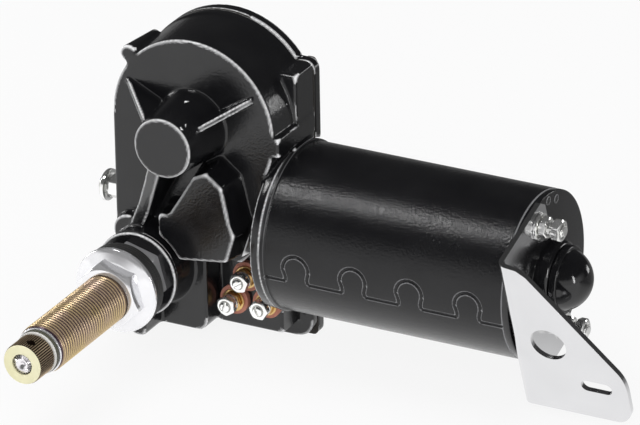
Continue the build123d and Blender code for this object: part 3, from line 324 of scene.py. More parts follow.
# colour, second colour, least and most roughness, and what else differs from the defaults
FINISHES = {
    # painted highlight: the pale edge colour of black_paint stands in for light on the casting's rounded
    # edges
    "black_paint": (*paint, (0.15, 0.22),
                    dict(grain=1000.0, height=0.06, edge_highlight=(0.88, 0.88, 0.89), cast=True)),
    "gasket_paper": ((0.03, 0.028, 0.025), (0.06, 0.055, 0.05), (0.75, 0.9), {}),
    "zinc_steel": ((0.84, 0.84, 0.82), (0.92, 0.92, 0.91), (0.08, 0.15), dict(metallic=0.9, height=0.008)),
    "steel": ((0.42, 0.41, 0.40), (0.55, 0.54, 0.53), (0.28, 0.42), dict(metallic=1.0)),
    # painted shade: the dark colour in the bushing thread's grooves stands in for the shade there
    "yellow_zinc": ((0.72, 0.55, 0.24), (0.64, 0.47, 0.34), (0.25, 0.36),
                    dict(metallic=0.5, blotch=90.0, groove_shade=(8.95, 9.52, (0.05, 0.025, 0.04)))),
    "chrome": ((0.80, 0.80, 0.82), (0.88, 0.88, 0.90), (0.08, 0.14), dict(metallic=0.7, height=0.004)),
    "rubber_black": ((0.012, 0.012, 0.012), (0.022, 0.022, 0.022), (0.45, 0.6), {}),
    "bronze": ((0.55, 0.34, 0.16), (0.62, 0.40, 0.20), (0.3, 0.4), dict(metallic=1.0)),
    # painted shade: the dark colour in the knurl's grooves and in the drum's hole stands in for the shade
    # there
    "drum_bronze": ((0.44, 0.32, 0.20), (0.58, 0.46, 0.30), (0.35, 0.5),
                    dict(metallic=0.7, groove_shade=(7.72, 7.90, (0.03, 0.018, 0.012)))),
    "white_nylon": ((0.75, 0.74, 0.70), (0.80, 0.79, 0.76), (0.4, 0.5), {}),
    "stainless": ((0.60, 0.60, 0.61), (0.63, 0.63, 0.64), (0.14, 0.18),
                  dict(metallic=1.0, grain=1500.0, height=0.002)),
    "fibre": ((0.46, 0.18, 0.13), (0.54, 0.24, 0.18), (0.55, 0.7), dict(blotch=300.0)),
    "brass": ((0.56, 0.38, 0.16), (0.64, 0.45, 0.20), (0.25, 0.35), dict(metallic=1.0)),
    "ferrite": ((0.03, 0.03, 0.032), (0.05, 0.05, 0.05), (0.6, 0.75), {}),
    "copper_wire": ((0.60, 0.24, 0.10), (0.70, 0.30, 0.14), (0.3, 0.4),
                    dict(metallic=1.0, stretch=(6, 1, 1))),
    "carbon": ((0.02, 0.02, 0.02), (0.04, 0.04, 0.04), (0.5, 0.65), {}),
    # painted highlight: the grey edge colour of tube_paint stands in for light on the lip's and rims' rounded
    # edges
    "tube_paint": (*paint, (0.20, 0.26),
                   dict(grain=1300.0, height=0.13, edge_highlight=(0.30, 0.30, 0.31), specular=0.34)),
    "black_gloss": (*paint, (0.08, 0.14), dict(height=0.01)),
    "drum_cream": ((0.86, 0.82, 0.52), (0.92, 0.88, 0.62), (0.35, 0.5), dict(metallic=0.1)),
    "bright_steel": ((0.74, 0.72, 0.74), (0.84, 0.82, 0.84), (0.18, 0.3), dict(metallic=0.9)),
    "seal_olive": ((0.06, 0.06, 0.04), (0.10, 0.10, 0.07), (0.4, 0.5), {}),
}
MATERIALS = {name: finish(name, *looks, **others) for name, (*looks, others) in FINISHES.items()}


def paint_frame():
    """Every carried-over node gets the material of its slot."""
    for part in frame["record"]["subparts"]:
        mesh = nodes[part["node"]].data
        mesh.materials.clear()
        mesh.materials.append(MATERIALS[part["material_slot"]])


# ---------------------------------------------------------------- mesh helpers (mm)
merge_distance = 1e-7  # m


def placed(axis, along, across, up):
    """Point given along an axis and across it."""
    return (across, along, up) if axis == "Y" else (along, across, up)


def rounded(points, radius, closed=True, steps=4):
    """Outline with its corners rounded."""
    result = []
    for index, point in enumerate(points):
        if not closed and index in (0, len(points) - 1):
            result.append(tuple(point))
            continue
        corner = Vector(point)
        before = Vector(points[index - 1]) - corner
        after = Vector(points[(index + 1) % len(points)]) - corner
        cut = min(radius, before.length / 2, after.length / 2)
        start = corner + before.normalized() * cut
        end = corner + after.normalized() * cut
        for step in range(steps + 1):
            t = step / steps
            result.append(tuple(start * (1 - t) ** 2 + corner * 2 * t * (1 - t) + end * t * t))
    return result


def turned(profile, axis="Y", centre=(0.0, 0.0), steps=96, shape=None, closed=True):
    """Vertices and faces turned from (along, radius) points. The angle runs from the axis's first
    cross direction towards +Z, and shape(angle, along, radius) may move a point."""
    vertices = []
    for step in range(steps):
        angle = 2 * pi * step / steps
        for along, radius in profile:
            if shape is not None:
                along, radius = shape(angle, along, radius)
            across, up = centre[0] + radius * cos(angle), centre[1] + radius * sin(angle)
            vertices.append(placed(axis, along, across, up))
    count = len(profile)
    spans = count if closed else count - 1
    faces = []
    for step in range(steps):
        here, after = step * count, (step + 1) % steps * count
        for index in range(spans):
            other = (index + 1) % count
            faces.append((here + index, here + other, after + other, after + index))
    return vertices, faces


hex_corner_cut = 0.12  # off a hexagon's corners
crown_inset = 0.25  # the flat end's rim lies this far inside the flats
crown_run, crown_drop = 0.3, 0.1  # the rim's rounding, across and along
edge_gap, edge_run = 0.02, 0.2  # the lens edge's rounding, across and along
bore_cut_width, bore_cut = 0.42, 0.56  # chamfer at the hole, across and along
nut_steps = 120


def hex_radius(angle, flats, turn):
    """Radius of a hexagon with a slightly broken corner at the angle turn (degrees)."""
    part = (angle - radians(turn)) % (pi / 3) - pi / 6
    return min(flats / 2 / cos(part), flats / sqrt(3) - hex_corner_cut)


def nut(flats, bore, front, back, turn=0.0, axis="Y", centre=(0.0, 0.0), both_ends=False, slope=0.62):
    """Hexagon nut along an axis, its corners cut back by cones into lens-shaped flats.
    front may lie on either side of back. slope is the cones' depth against their width."""
    crown = flats / 2 - crown_inset
    sign = 1.0 if back > front else -1.0

    def shape(angle, along, kind):
        outer = hex_radius(angle, flats, turn)
        drop = crown_drop + (outer - crown) * slope
        far_drop, far_rim = (drop + edge_run, crown_drop) if both_ends else (0.0, 0.0)
        return (
            (front + sign * bore_cut, bore), (front, bore + bore_cut_width), (front, crown - crown_run),
            (front + sign * crown_drop, crown), (front + sign * drop, outer - edge_gap),
            (front + sign * (drop + edge_run), outer), (back - sign * far_drop, outer),
            (back - sign * far_rim, crown), (back, crown - crown_run), (back, bore),
        )[kind]

    return turned([(0.0, kind) for kind in range(10)], axis, centre, nut_steps, shape)


# one turn of a screw thread from crest to crest: share of the pitch, and 1 at the root
THREAD_TURN = [(0.04, 1.0), (0.42, 0.06), (0.5, 0.0), (0.58, 0.06), (0.96, 1.0)]
seam_merge = 1e-4  # mm


def helix(radius, depth, pitch, start, end, axis="Y", centre=(0.0, 0.0), steps=96):
    """Screw thread between two planes, open at both ends."""
    low, high = min(start, end), max(start, end)
    turns = ceil((high - low) / pitch) + 2
    mesh = bmesh.new()
    columns = []
    for step in range(steps + 1):
        angle = 2 * pi * step / steps
        column = []
        for turn in range(turns):
            for phase, drop in THREAD_TURN:
                along = low + (turn - 1 + phase + step / steps) * pitch
                r = radius - depth * drop
                across, up = centre[0] + r * cos(angle), centre[1] + r * sin(angle)
                column.append(mesh.verts.new(placed(axis, along, across, up)))
        columns.append(column)
    for left, right in zip(columns, columns[1:]):
        for index in range(len(left) - 1):
            mesh.faces.new((left[index], left[index + 1], right[index + 1], right[index]))
    bmesh.ops.remove_doubles(mesh, verts=mesh.verts, dist=seam_merge)
    for place, flip in ((low, -1), (high, 1)):
        geometry = list(mesh.verts) + list(mesh.edges) + list(mesh.faces)
        bmesh.ops.bisect_plane(mesh, geom=geometry, plane_co=placed(axis, place, 0, 0),
                               plane_no=placed(axis, flip, 0, 0), clear_outer=True)
    mesh.verts.index_update()
    vertices = [tuple(v.co) for v in mesh.verts]
    faces = [tuple(v.index for v in f.verts) for f in mesh.faces]
    mesh.free()
    return vertices, faces


def joined(*shapes):
    """Several (vertices, faces) as one."""
    vertices, faces = [], []
    for more_vertices, more_faces in shapes:
        base = len(vertices)
        vertices += more_vertices
        faces += [tuple(base + index for index in face) for face in more_faces]
    return vertices, faces


def ring(outer, inner, front, back, edge=0.15, **where):
    """Washer with rounded edges."""
    corners = [(front, inner), (front, outer), (back, outer), (back, inner)]
    profile = rounded(corners, edge, steps=3)
    return turned(profile, **where)


def on_motor(radius, angle):
    """Point round the motor axis as (y, z), degrees from +Z towards the front."""
    return motor_y - radius * sin(radians(angle)), motor_z + radius * cos(radians(angle))


def body_of_node(node):
    for body, members in frame["record"]["behaviour"]["bodies"].items():
        if node in members:
            return body
    raise ValueError(node)


def add_piece(name, shape, finish_name, *replaced, rides=None, sharp_angle=36.0):
    """Object from vertices and faces in mm. It stands for the CAD nodes in replaced."""
    vertices, faces = shape
    data = bpy.data.meshes.new(name)
    mesh = bmesh.new()
    corners = [mesh.verts.new(tuple(value * MM for value in vertex)) for vertex in vertices]
    for face in faces:
        if len(set(face)) >= 3:
            mesh.faces.new([corners[index] for index in face])
    bmesh.ops.remove_doubles(mesh, verts=mesh.verts, dist=merge_distance)
    bmesh.ops.recalc_face_normals(mesh, faces=mesh.faces)
    mesh.to_mesh(data)
    mesh.free()
    return add_mesh(name, data, finish_name, *replaced, rides=rides, sharp_angle=sharp_angle)


def add_mesh(name, data, finish_name, *replaced, rides=None, sharp_angle=36.0):
    """Object from a mesh in metres. It rides with what it replaces, unless rides names a body."""
    data.shade_smooth()
    data.set_sharp_from_angle(angle=radians(sharp_angle))
    data.materials.clear()
    data.materials.append(MATERIALS[finish_name])
    piece = bpy.data.objects.new(name, data)
    bpy.context.scene.collection.objects.link(piece)
    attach(piece, rides or body_of_node(replaced[0]))
    if replaced:
        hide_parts(*replaced)
    return piece


# ---------------------------------------------------------------- castings
cast_voxels = {"gear_housing": 0.5, "rear_cover": 0.55}
cast_smoothing = 14  # rounds of smoothing, which set how round the edges get
flat_width, flat_reach = 3.0, 0.05  # least width of a flat, and how far off it a vertex still snaps to it
flat_angle, thinning_angle = 0.4, 0.35  # degrees within which faces count as one
ray_start = 1.3  # from the surface, past the wall's own skin
largest_rounding_face = 0.6  # mm2; larger faces are flats, which get no painted edge highlight
cover_turn_limit = 1.0  # radians either side of the cover's flat


def evaluated(data, modifiers):
    """The mesh after a stack of (type, settings) modifiers."""
    carrier = bpy.data.objects.new("carrier", data)
    bpy.context.scene.collection.objects.link(carrier)
    for kind, settings in modifiers:
        modifier = carrier.modifiers.new(kind, kind)
        for key, value in settings.items():
            setattr(modifier, key, value)
    graph = bpy.context.evaluated_depsgraph_get()
    result = bpy.data.meshes.new_from_object(carrier.evaluated_get(graph))
    bpy.data.objects.remove(carrier)
    return result


def merge_flats(mesh):
    """Joins the triangles of a CAD mesh into its flat faces."""
    bmesh.ops.remove_doubles(mesh, verts=mesh.verts, dist=merge_distance)
    bmesh.ops.dissolve_limit(mesh, angle_limit=radians(flat_angle), verts=mesh.verts, edges=mesh.edges)


def flat_finder(data, least_width):
    """Search tree over the mesh's wide flat faces."""
    mesh = bmesh.new()
    mesh.from_mesh(data)
    merge_flats(mesh)
    narrow = [face for face in mesh.faces
              if 2 * face.calc_area() / max(face.calc_perimeter(), 1e-9) < least_width * MM]
    bmesh.ops.delete(mesh, geom=narrow, context="FACES")
    bmesh.ops.triangulate(mesh, faces=mesh.faces)
    tree = BVHTree.FromBMesh(mesh)
    mesh.free()
    return tree


def inside_hollow(shell, place):
    """True in a hollow that is open to the back alone: a ray to each other side meets a wall."""
    for direction in ((0, -1, 0), (1, 0, 0), (-1, 0, 0), (0, 0, 1), (0, 0, -1)):
        away = Vector(direction)
        if shell.ray_cast(place + away * ray_start * MM, away)[0] is None:
            return False
    return True


def round_cover_edge(places):
    """Moves the cover's upper right edge out from the CAD's flat to the circle that the photo shows."""
    across, up = places[:, 0] / MM - wheel_x, places[:, 2] / MM - wheel_z
    turn = np.arctan2(up, across) - radians(cover_flat_angle)
    flat = cover_flat_distance / np.cos(np.clip(turn, -cover_turn_limit, cover_turn_limit))
    share = np.clip((np.hypot(across, up) - cover_still_radius) / (flat - cover_still_radius), 0, 1)
    near = (np.abs(turn) < cover_turn_limit) & (up + wheel_z > lug_top_z)
    cut = near & (flat < cover_circle_radius)
    grow = np.where(cut, (cover_circle_radius / flat - 1) * share, 0)
    places[:, 0] += across * grow * MM
    places[:, 2] += up * grow * MM


def cast_copy(node, hollow):
    """Copy of a CAD node with every edge rounded as a casting's is, and its wide flats kept flat.
    The hollow of the housing stays as in the CAD, so the linkage keeps its room."""
    source = nodes[node].data.copy()
    flats = flat_finder(source, flat_width)
    data = evaluated(source, [
        ("REMESH", {"mode": "VOXEL", "voxel_size": cast_voxels[node] * MM}),
        ("SMOOTH", {"factor": 0.5, "iterations": cast_smoothing}),
    ])
    places = np.empty(len(data.vertices) * 3)
    data.vertices.foreach_get("co", places)
    places = places.reshape(-1, 3)
    reach = flat_reach * MM
    shell = flat_finder(source, 0.0) if hollow else None
    for index, place in enumerate(places):
        hit = flats.find_nearest(place, reach)
        if hit[0] is None and hollow and inside_hollow(shell, Vector(place)):
            hit = shell.find_nearest(place)
        if hit[0] is not None:
            places[index] = hit[0]
    if node == "rear_cover":
        round_cover_edge(places)
    data.vertices.foreach_set("co", places.ravel())
    data.update()
    data = evaluated(data, [("DECIMATE", {"decimate_type": "DISSOLVE",
                                          "angle_limit": radians(thinning_angle)})])
    # small faces are the rounded edges, which carry the painted highlight in the material
    areas = np.empty(len(data.polygons))
    data.polygons.foreach_get("area", areas)
    small = areas < largest_rounding_face * MM * MM
    data.attributes.new("rounding", "FLOAT", "FACE").data.foreach_set("value", small.astype(np.float32))
    return data


def weigh_normals(piece):
    """Shades the flats flat and leaves the bending to the rounded edges."""
    modifier = piece.modifiers.new("normals", "WEIGHTED_NORMAL")
    modifier.mode = "FACE_AREA"
    modifier.keep_sharp = True


def make_castings():
    for node, hollow in (("gear_housing", True), ("rear_cover", False)):
        data = cast_copy(node, hollow)
        weigh_normals(add_mesh(node + "_casting", data, "black_paint", node, sharp_angle=60.0))


# ---------------------------------------------------------------- motor tube with its interlocked seam
seam_angle = 14.5  # degrees below the front of the tube
tab_height, tab_head_radius, tab_neck = 11.0, 5.3, 4.5
tab_foot = [(0.8, 0.0), (0.1, 0.7), (0.0, 2.0)]  # a tab's flared foot: out from its neck, and height
tab_head_start, tab_head_sweep, tab_head_steps = 205.0, 230.0, 14  # degrees, and points less one
tab_places = [65.9, 89.6, 112.9, 136.9]
groove_depth, groove_width, groove_floor = 0.55, 0.6, 0.3  # floor: how much of the width is at full depth
seam_rows = [-4.0, 15.5]  # band of fine mesh, above the seam line
fine_step, coarse_rows = 0.24, 120  # along the girth
fine_step_x = 0.25
lip_blend, lip_rounding, tail_rounding = 0.5, 0.45, 0.6


def seam_path(start_x, end_x):
    """The seam as (x, height) points: straight runs and keyhole-shaped tabs."""
    points = [(start_x, 0.0)]
    for place in tab_places:
        centre = tab_height - tab_head_radius
        points += [(place - tab_neck - out, height) for out, height in tab_foot]
        for step in range(tab_head_steps + 1):
            angle = radians(tab_head_start - tab_head_sweep * step / tab_head_steps)
            points.append((place + tab_head_radius * cos(angle), centre + tab_head_radius * sin(angle)))
        points += [(place + tab_neck + out, height) for out, height in reversed(tab_foot)]
    points.append((end_x, 0.0))
    return np.array(points)


def distance_to_path(points, path):
    """Least distance of each point to a run of straight pieces."""
    best = np.full(len(points), 1e9)
    for start, end in zip(path, path[1:]):
        along = end - start
        share = np.clip(((points - start) @ along) / (along @ along), 0, 1)
        gap = points - start - share[:, None] * along
        best = np.minimum(best, np.hypot(gap[:, 0], gap[:, 1]))
    return best


def make_tube():
    """Tube with a rolled lip. Its front is a band of fine mesh, which the seam's groove is pressed into."""
    low, high = span("motor_tube")
    start_x, end_x = low.x, high.x
    lip_end = start_x + tube_lip_width
    lip = rounded([(start_x, tube_bore), (start_x, tube_lip_radius), (lip_end, tube_lip_radius),
                   (lip_end + lip_blend, tube_radius)], lip_rounding, closed=False)
    fine_x = np.arange(start_x + 3.0, end_x - 1.4, fine_step_x)
    tail = rounded([(end_x - 1.2, tube_radius), (end_x, tube_radius), (end_x, tube_bore)], tail_rounding,
                   closed=False)
    profile = lip + [(x, tube_radius) for x in fine_x] + tail
    band_low, band_high = (seam / tube_radius - radians(seam_angle) for seam in seam_rows)
    fine = np.arange(band_low, band_high, fine_step / tube_radius)
    coarse = np.linspace(band_high, band_low + 2 * pi, coarse_rows)[:-1]
    angles = pi - np.concatenate([fine, coarse])  # from +Y towards +Z; the front is at pi
    heights = (np.concatenate([fine, coarse]) + radians(seam_angle)) * tube_radius
    path = seam_path(lip_end + 0.6, end_x - 0.6)
    count = len(profile)
    grid_x, grid_h = np.meshgrid([along for along, radius in profile], heights[:len(fine)])
    gaps = distance_to_path(np.column_stack([grid_x.ravel(), grid_h.ravel()]), path).reshape(grid_x.shape)
    cut = groove_depth * np.clip(1.0 + groove_floor - gaps / groove_width, 0, 1)
    vertices = []
    for row, angle in enumerate(angles):
        for column, (along, radius) in enumerate(profile):
            if row < len(fine) and 0 < column < count - 1:
                radius = radius - cut[row, column]
            vertices.append((along, motor_y + radius * cos(angle), motor_z + radius * sin(angle)))
    faces = []
    for row in range(len(angles)):
        here, after = row * count, (row + 1) % len(angles) * count
        for column in range(count):
            other = (column + 1) % count
            faces.append((here + column, here + other, after + other, after + column))
    add_piece("motor_tube_skin", (vertices, faces), "tube_paint", "motor_tube", sharp_angle=50.0)


# ---------------------------------------------------------------- spindle
thread_depth, thread_core_radius = 0.85, 8.4
bushing_foot_width, bushing_foot_length = 1.9, 2.0  # collar behind the nuts
nut_gap, nut_slope = 0.05, 1.0
flange_thickness, flange_bore = 1.6, 10.0
gasket_rib, gasket_rib_depth, gasket_rim = 0.62, 0.55, 0.4
knurl_teeth, knurl_depth, knurl_flank = 56, 0.28, 1.3  # flank: how soon a groove reaches its depth
drum_hole_depth, drum_hole_offset = 3.0, 1.2  # the hole lies this far before the middle
drum_row = 0.16  # spacing of the mesh along the drum
face_proud = 0.2  # of the drum's front
serrations, serration_depth, chamfer_depth = 22, 0.6, 1.44  # groove's depth on the tip and at its chamfer
steps_per_tooth = 8


def tooth(angle, teeth):
    """0 in the middle of a tooth's share of the circle, and 1 between two."""
    return abs((angle * teeth / (2 * pi)) % 1.0 - 0.5) * 2


def make_bushing():
    low, high = span("spindle_bushing")
    outer_nut_low, _ = span("outer_mounting_nut")
    tip_y, back_y, thread_end = low.y, high.y, outer_nut_low.y - 0.5
    foot_y, foot_radius = back_y - bushing_foot_length, neck_radius + bushing_foot_width
    tip = rounded([(tip_y + 1.6, 8.5), (tip_y + 1.1, thread_radius - 0.15), (tip_y + 0.1, 8.6),
                   (tip_y, 8.3), (tip_y, bush_bore), (tip_y + 3.0, bush_bore)], 0.12, closed=False, steps=2)
    body = [(back_y, bush_bore), (back_y, foot_radius), (foot_y, foot_radius), (foot_y, neck_radius),
            (thread_end - 0.4, neck_radius), (thread_end - 0.4, thread_core_radius),
            (tip_y + 1.6, thread_core_radius)]
    thread = helix(thread_radius, thread_depth, thread_pitch, tip_y + 1.0, thread_end)
    add_piece("spindle_bushing_thread", joined(thread, turned(tip + body)), "yellow_zinc",
              "spindle_bushing", sharp_angle=50.0)


def mounting_nut(front, back):
    return nut(nut_flats, neck_radius + nut_gap, front, back, turn=nut_turn, slope=nut_slope)


def make_mounting_nuts():
    low, high = span("inner_mounting_nut")
    add_piece("inner_nut", mounting_nut(low.y, high.y), "chrome", "inner_mounting_nut")
    low, high = span("outer_mounting_nut")
    flange_y = high.y - flange_thickness
    flange = rounded([(flange_y - 2.6, flange_bore), (flange_y - 2.2, 12.3),
                      (flange_y - 0.7, nut_flange_radius - 1.3), (flange_y, nut_flange_radius),
                      (high.y, nut_flange_radius), (high.y, flange_bore)], 0.35)
    shape = joined(mounting_nut(low.y, high.y - 0.4), turned(flange))
    add_piece("outer_nut", shape, "chrome", "outer_mounting_nut")


def make_gasket():
    low, high = span("bulkhead_gasket")
    reach, root, bore = gasket_radius, gasket_radius - gasket_rib_depth, neck_radius + 0.4
    profile = [(low.y, bore), (low.y, reach - 0.5), (low.y + gasket_rim, reach)]
    ribbed = high.y - low.y - 2 * gasket_rim
    ribs = int(ribbed / (2 * gasket_rib))
    step = ribbed / ribs
    for index in range(ribs):
        start = low.y + gasket_rim + index * step
        profile += [(start + step * share, radius)
                    for share, radius in ((0.35, reach), (0.5, root), (0.7, root), (0.9, reach))]
    profile += [(high.y, reach - gasket_rim), (high.y, bore)]
    add_piece("bulkhead_gasket_ribbed", turned(rounded(profile, 0.14, steps=2)), "rubber_black",
              "bulkhead_gasket", sharp_angle=60.0)


def make_drum():
    low, high = span("knurled_drum")
    front, back = low.y, high.y
    hole_y = (front + back) / 2 - drum_hole_offset
    hole_angle = pi / 2 - radians(drum_hole_angle)
    fine = np.arange(front + 0.5, back - 0.3, drum_row)
    profile = ([(front + 1.2, shaft_tip_radius + 0.35), (front, shaft_tip_radius + 0.5),
                (front, drum_radius - 0.75), (front + 0.12, drum_radius - 0.45)]
               + [(y, drum_radius) for y in fine]
               + [(back, drum_radius - 0.5), (back, shaft_tip_radius + 0.3)])

    def shape(angle, along, radius):
        if radius == drum_radius:
            radius -= knurl_depth * min(1.0, tooth(angle, knurl_teeth) * knurl_flank)
            turn = (angle - hole_angle + pi) % (2 * pi) - pi
            if hypot(turn * drum_radius, along - hole_y) < drum_hole_radius:
                radius = drum_radius - drum_hole_depth
        return along, radius

    add_piece("drum_knurled", turned(profile, steps=knurl_teeth * steps_per_tooth, shape=shape),
              "drum_bronze", "knurled_drum", sharp_angle=55.0)
    face_bore = shaft_tip_radius + 0.2
    face = rounded([(front - face_proud, face_bore), (front - face_proud, drum_radius - 0.45),
                    (front + 0.05, drum_radius - 0.25), (front + 0.9, drum_radius - 0.62),
                    (front + 0.9, face_bore)], 0.1, steps=2)
    add_piece("drum_face", turned(face), "drum_cream", rides="output")


def make_shaft():
    """Output shaft with a serrated tip and a centre recess."""
    low, high = span("output_shaft")
    front, back = low.y, high.y
    _, drum_high = span("knurled_drum")
    neck = drum_high.y
    chamfer_radius = shaft_tip_radius - 0.75
    profile = [(front + 1.6, 0.0), (front + 0.9, 0.8), (front + 0.35, 1.2), (front + 0.02, 2.4),
               (front + 0.3, chamfer_radius), (front + 0.75, shaft_tip_radius), (neck, shaft_tip_radius),
               (neck + 0.2, shaft_radius), (back, shaft_radius), (back, 0.0)]

    def shape(angle, along, radius):
        depth = {shaft_tip_radius: serration_depth, chamfer_radius: chamfer_depth}.get(radius, 0.0)
        return along, radius - depth * tooth(angle, serrations)

    shaft = turned(profile, steps=serrations * steps_per_tooth, shape=shape, closed=False)
    add_piece("output_shaft_serrated", shaft, "bright_steel", "output_shaft", sharp_angle=40.0)


def make_shaft_rings():
    for node, finish_name, edge in (("drum_washer", "white_nylon", 0.25), ("shaft_seal", "seal_olive", 0.3),
                                    ("seal_cap", "chrome", 0.2)):
        low, high = span(node)
        add_piece(node + "_ring", ring(high.x, shaft_radius + 0.1, low.y, high.y, edge), finish_name, node)


# ---------------------------------------------------------------- terminals
stud_rings, stud_steps = 14, 64
slot_half_width, slot_depth, dome_depth = 0.42, 0.9, 0.5
stud_core_radius, stud_head_radius, stud_head_length = 1.95, 4.2, 2.5
terminal_twist = 23.0  # degrees from one terminal's nuts to the next's
washer_play = 0.05


def stud_end(front, back, place, slot_angle):
    """Domed stud end with a screwdriver slot, as a fine radial mesh."""
    rings, steps = stud_rings, stud_steps
    heading = radians(slot_angle)
    vertices, faces = [(place[0], front + slot_depth, place[1])], []
    for index in range(1, rings + 1):
        radius = stud_radius * index / rings
        for step in range(steps):
            angle = 2 * pi * step / steps
            x, z = radius * cos(angle), radius * sin(angle)
            depth = 0.02 + dome_depth * (radius / stud_radius) ** 4
            if abs(-x * sin(heading) + z * cos(heading)) < slot_half_width:
                depth = slot_depth
            vertices.append((place[0] + x, front + depth, place[1] + z))
    for step in range(steps):
        faces.append((0, 1 + step, 1 + (step + 1) % steps))
    for index in range(1, rings):
        base, outer = 1 + (index - 1) * steps, 1 + index * steps
        for step in range(steps):
            after = (step + 1) % steps
            faces.append((base + step, base + after, outer + after, outer + step))
    side = turned([(front + slot_depth, stud_radius), (back + 0.2, stud_radius)], centre=place,
                  steps=steps, closed=False)
    return joined((vertices, faces), side)


def make_terminals():
    jam_low, jam_high = span("terminal_jam_nuts")
    nut_low, nut_high = span("terminal_nuts")
    lock_low, lock_high = span("terminal_lock_washers")
    brass_low, brass_high = span("terminal_washers")
    stud_low, stud_high = span("terminal_studs")
    head_y = stud_high.y - stud_head_length
    stud = [(nut_low.y, 0.0), (nut_low.y, stud_core_radius), (head_y, stud_core_radius),
            (head_y, stud_head_radius), (stud_high.y, stud_head_radius), (stud_high.y, 0.0)]
    nuts, jams, locks, brasses, studs = [], [], [], [], []
    for index, place in enumerate(terminal_places):
        twist = terminal_twist * index
        nuts.append(nut(terminal_flats, stud_radius, nut_low.y, nut_high.y, turn=10.0 + twist,
                        centre=place, both_ends=True))
        jams.append(nut(terminal_flats, stud_radius, jam_low.y, jam_high.y, turn=25.0 + twist,
                        centre=place, both_ends=True))
        locks.append(ring(lock_washer_radius, stud_radius, lock_low.y + washer_play,
                          lock_high.y - washer_play, 0.2, centre=place))
        brasses.append(ring(brass_washer_radius, stud_radius, brass_low.y, brass_high.y, 0.25, centre=place))
        studs += [stud_end(stud_low.y, nut_low.y, place, 35.0 + 40.0 * index),
                  turned(stud, centre=place, steps=48, closed=False)]
    add_piece("terminal_outer_nuts", joined(*nuts), "zinc_steel", "terminal_nuts")
    add_piece("terminal_inner_nuts", joined(*jams), "brass", "terminal_jam_nuts")
    add_piece("terminal_spring_washers", joined(*locks), "zinc_steel", "terminal_lock_washers")
    add_piece("terminal_flat_washers", joined(*brasses), "brass", "terminal_washers")
    add_piece("terminal_stud_ends", joined(*studs), "zinc_steel", "terminal_studs")


# ---------------------------------------------------------------- screws
cover_screw_head, cover_screw_flange = 2.8, 0.85
tie_nuts = [(0.0, 3.2, 0.0), (5.0, 3.6, 21.0)]  # start behind the washer, height, turn in degrees
tie_nut_turn, tie_bolt_twist = 8.0, 21.0  # the first nut's, and from one bolt to the next
tie_thread_pitch, tie_thread_depth, tie_core_inset = 0.8, 0.36, 0.4
thrust_button_radius, thrust_flange_start = 3.4, 2.0
thrust_lock_flats, thrust_thread_pitch, thrust_thread_depth = 8.3, 1.0, 0.45


def make_cover_screws():
    low, high = span("cover_screws")
    shapes = []
    seat = high.y - cover_screw_head
    for index, place in enumerate(cover_screw_places):
        shapes.append(nut(cover_screw_flats, 0.0, high.y, seat + 0.7, turn=17.0 * index, centre=place))
        shapes.append(ring(cover_screw_head_radius, 0.5, seat, seat + cover_screw_flange, 0.25,
                           centre=place))
        shapes.append(turned([(low.y, 0.0), (low.y, cover_screw_radius), (seat + 0.1, cover_screw_radius),
                              (seat + 0.1, 0.0)], centre=place, steps=32, closed=False))
    add_piece("cover_screw_heads", joined(*shapes), "zinc_steel", "cover_screws")


def make_tie_bolts():
    low, high = span("tie_bolts")
    washer_low, washer_high = span("tie_bolt_washers")
    shank_radius, core_radius = tie_bolt_radius - 0.02, tie_bolt_radius - tie_core_inset
    shank = rounded([(low.x, 0.0), (low.x, shank_radius), (washer_low.x, shank_radius),
                     (washer_low.x, core_radius), (high.x - 0.1, core_radius), (high.x, 1.2),
                     (high.x, 0.0)], 0.1, closed=False, steps=2)
    bolts, nuts, washers = [], [], []
    for index, angle in enumerate(tie_bolt_angles):
        centre = on_motor(tie_bolt_circle, angle)
        bolts.append(helix(tie_bolt_radius, tie_thread_depth, tie_thread_pitch, washer_low.x, high.x - 0.4,
                           axis="X", centre=centre, steps=48))
        bolts.append(turned(shank, "X", centre, 48, closed=False))
        for start, height, turn in tie_nuts:
            face = washer_high.x + start
            nuts.append(nut(tie_nut_flats, tie_bolt_radius - 0.1, face + height, face, axis="X",
                            turn=tie_nut_turn + turn + tie_bolt_twist * index, centre=centre, both_ends=True))
        washers.append(ring(tie_washer_radius, tie_bolt_radius, washer_low.x, washer_high.x, 0.25, axis="X",
                            centre=centre))
    add_piece("tie_bolt_threads", joined(*bolts), "zinc_steel", "tie_bolts")
    add_piece("tie_bolt_hex_nuts", joined(*nuts), "zinc_steel", "tie_bolt_nuts")
    add_piece("tie_bolt_flat_washers", joined(*washers), "zinc_steel", "tie_bolt_washers")


def make_thrust_screw():
    """Screw with a button on a flanged head, and a lock nut against the case."""
    low, high = span("thrust_screw")
    housing_low, _ = span("gear_housing")
    centre = (motor_y, motor_z)
    button, reach, core_radius = thrust_button_radius, thrust_head_radius, thrust_screw_radius - 0.4
    head_end, flange_x = low.x + thrust_head_length, low.x + thrust_flange_start
    head = rounded([(low.x + 1.2, 0.0), (low.x + 1.2, 0.75), (low.x, 0.85), (low.x + 0.1, button - 1.0),
                    (low.x + 0.8, button), (flange_x, button), (flange_x, reach - 0.6),
                    (flange_x + 0.6, reach), (head_end, reach), (head_end, reach - 1.6),
                    (head_end - 0.5, reach - 2.0), (head_end - 0.5, core_radius), (high.x, core_radius),
                    (high.x, 0.0)], 0.25, closed=False)
    lock = nut(thrust_lock_flats, thrust_screw_radius - 0.3, head_end + 0.7, housing_low.x + 0.1, turn=20.0,
               axis="X", centre=centre)
    thread = helix(thrust_screw_radius, thrust_thread_depth, thrust_thread_pitch, head_end - 0.5,
                   high.x - 0.2, axis="X", centre=centre, steps=64)
    add_piece("thrust_screw_head", joined(turned(head, "X", centre, 72, closed=False), lock, thread),
              "zinc_steel", "thrust_screw")


